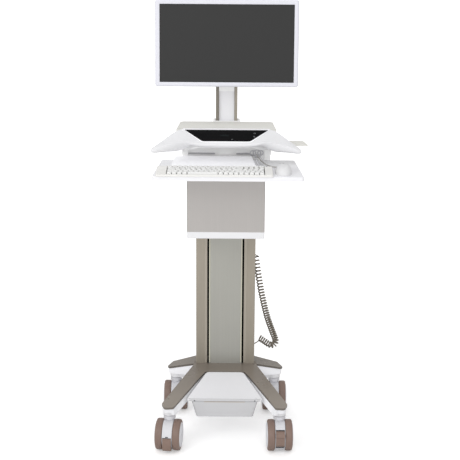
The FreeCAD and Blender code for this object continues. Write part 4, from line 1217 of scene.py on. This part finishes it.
# outline (y, z) of the dark slot across the front of the hood, above the left pedal
LOCK_SLOT = [(-76.0, 72.0), (-78.5, 72.0), (-78.3, 76.0), (-76.0, 76.0)]


def swivel_foot(corner):
    """Place on the floor under a caster's swivel axis."""
    x, y, z = JOINTS["swivel_" + corner]["pos_m"]
    return Vector((x, y, 0))


def axle_direction(corner):
    return Vector(JOINTS["roll_" + corner]["axis"]).normalized()


def caster_wheels(corner):
    """Two treads with rounded shoulders, each with a dished white hub cover."""
    axle = Vector(JOINTS["roll_" + corner]["pos_m"])
    body = "wheels_" + corner
    for name, side in (("in", -1), ("out", 1)):
        direction = axle_direction(corner) * side
        start = axle + direction * HOOD_HALF * MM
        ending = name + "_" + corner
        tyre = place(smooth(lathe("tyre_" + ending, TREAD, start, direction, 120)), "caster_tread", body)
        hub = place(smooth(lathe("hub_" + ending, HUB_COVER, start, direction, 96)), "hub_white", body)
        hub.data.set_sharp_from_angle(angle=math.radians(40))
        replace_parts(tyre, "caster_tyres_" + corner)
        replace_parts(hub, "caster_hubs_" + corner)


def caster_ring(corner):
    """Grey parting ring at the top of a caster's neck."""
    centre = swivel_foot(corner) + Vector((0, 0, NECK_RING_Z * MM))
    ring = lathe("neck_ring_" + corner, NECK_RING, centre, (0, 0, 1), 72)
    return place(smooth(ring), "seam_grey", "caster_" + corner)


def lock_slot(corner):
    """Small dark slot in the hood above the brake pedal."""
    side = axle_direction(corner)
    ahead = Vector((0, 0, 1)).cross(side)
    rings = []
    for x in (-5.5, 5.5):
        spots = [side * x + ahead * y + Vector((0, 0, z)) for y, z in LOCK_SLOT]
        rings.append([swivel_foot(corner) + spot * MM for spot in spots])
    return soft(loft("lock_slot_" + corner, rings), 0.3, "dark_rubber", "caster_" + corner)


def build_casters():
    for corner in CORNERS:
        caster_wheels(corner)
        caster_ring(corner)
    lock_slot("front_left")


def soften_nodes():
    for width, names in SOFTENED.items():
        for name in names:
            soften_node(name, width)


dress_nodes()
build_base()
build_column()
coil_cord()
build_head()
build_tray()
build_monitor()
build_casters()
soften_nodes()


# stage --------------------


CAMERA = {"place": (0.0001, -4.5765, 2.128), "down": 15.5, "roll": 0.4, "lens": 93.9}
# light from the white surroundings, and their brightness straight behind the cart
SKY_LIGHT = 0.75
SKY_SEEN = 1.05
# how much the floor is lifted, near the cart and far from it, and the two distances
FLOOR_LIFT = (0.32, 0.62)
FLOOR_NEAR = 0.9
FLOOR_FAR = 2.6
FLOOR_REACH = 9.0


def place_camera():
    """A long lens above head height, straight in front of the cart and tipped down."""
    data = bpy.data.cameras.new("camera")
    data.sensor_width = 36.0
    data.lens = CAMERA["lens"]
    data.clip_end = 50.0
    camera = link_object("camera", data)
    stand = Matrix.Translation(CAMERA["place"])
    tip = Matrix.Rotation(math.radians(90 - CAMERA["down"]), 4, "X")
    roll = Matrix.Rotation(math.radians(CAMERA["roll"]), 4, "Z")
    camera.matrix_world = stand @ tip @ roll
    bpy.context.scene.camera = camera


def area_light(name, place, power, size):
    data = bpy.data.lights.new(name, "AREA")
    data.energy = power
    data.size = size
    lamp = link_object(name, data)
    lamp.location = place
    aim = Vector((0.0, 0.0, 0.9)) - Vector(place)
    lamp.rotation_euler = aim.to_track_quat("-Z", "Y").to_euler()


def seen_directly(tree):
    """1 for rays straight from the camera, 0 for light that bounces."""
    return tree.nodes.new("ShaderNodeLightPath").outputs["Is Camera Ray"]


def studio_world():
    """White surroundings: pure white behind the cart, a little dimmer as light."""
    world = bpy.data.worlds.new("studio")
    bpy.context.scene.world = world
    world.use_nodes = True
    tree = world.node_tree
    sky = tree.nodes["Background"]
    sky.inputs["Color"].default_value = (1.0, 1.0, 1.0, 1.0)
    level = tree.nodes.new("ShaderNodeMapRange")
    level.inputs["To Min"].default_value = SKY_LIGHT
    level.inputs["To Max"].default_value = SKY_SEEN
    tree.links.new(seen_directly(tree), level.inputs["Value"])
    tree.links.new(level.outputs["Result"], sky.inputs["Strength"])


def studio_floor():
    """Pale floor, lifted towards white where the camera sees it, so that only soft shadows show."""
    mesh = bpy.data.meshes.new("floor")
    corners = rectangle((-FLOOR_REACH, FLOOR_REACH), (-FLOOR_REACH, FLOOR_REACH * 3))
    mesh.from_pydata([(x, y, 0) for x, y in corners], [], [(0, 1, 2, 3)])
    floor = link_object("floor", mesh)
    shader = Shader("floor", "f4f4f4", 0.9).mottle(0.8, 0.004)
    far = shader.add("ShaderNodeVectorMath", {0: shader.place})
    far.operation = "LENGTH"
    lift = shader.ranged(far.outputs["Value"], *FLOOR_LIFT, FLOOR_NEAR, FLOOR_FAR)
    seen = shader.add("ShaderNodeMath", {0: lift, 1: seen_directly(shader.tree)})
    seen.operation = "MULTIPLY"
    shader.surface({"Emission Color": (1.0, 1.0, 1.0, 1.0), "Emission Strength": seen.outputs["Value"]})
    shader.dull(0.0)
    floor.data.materials.append(shader.material)


def build_stage():
    bpy.context.scene.view_settings.view_transform = "Standard"
    studio_world()
    area_light("front", (0.3, -5.5, 2.8), 62, 3.0)
    area_light("key", (-2.8, -3.4, 3.6), 62, 2.2)
    area_light("top", (0.0, 0.2, 4.5), 14, 2.5)
    studio_floor()


place_camera()
build_stage()
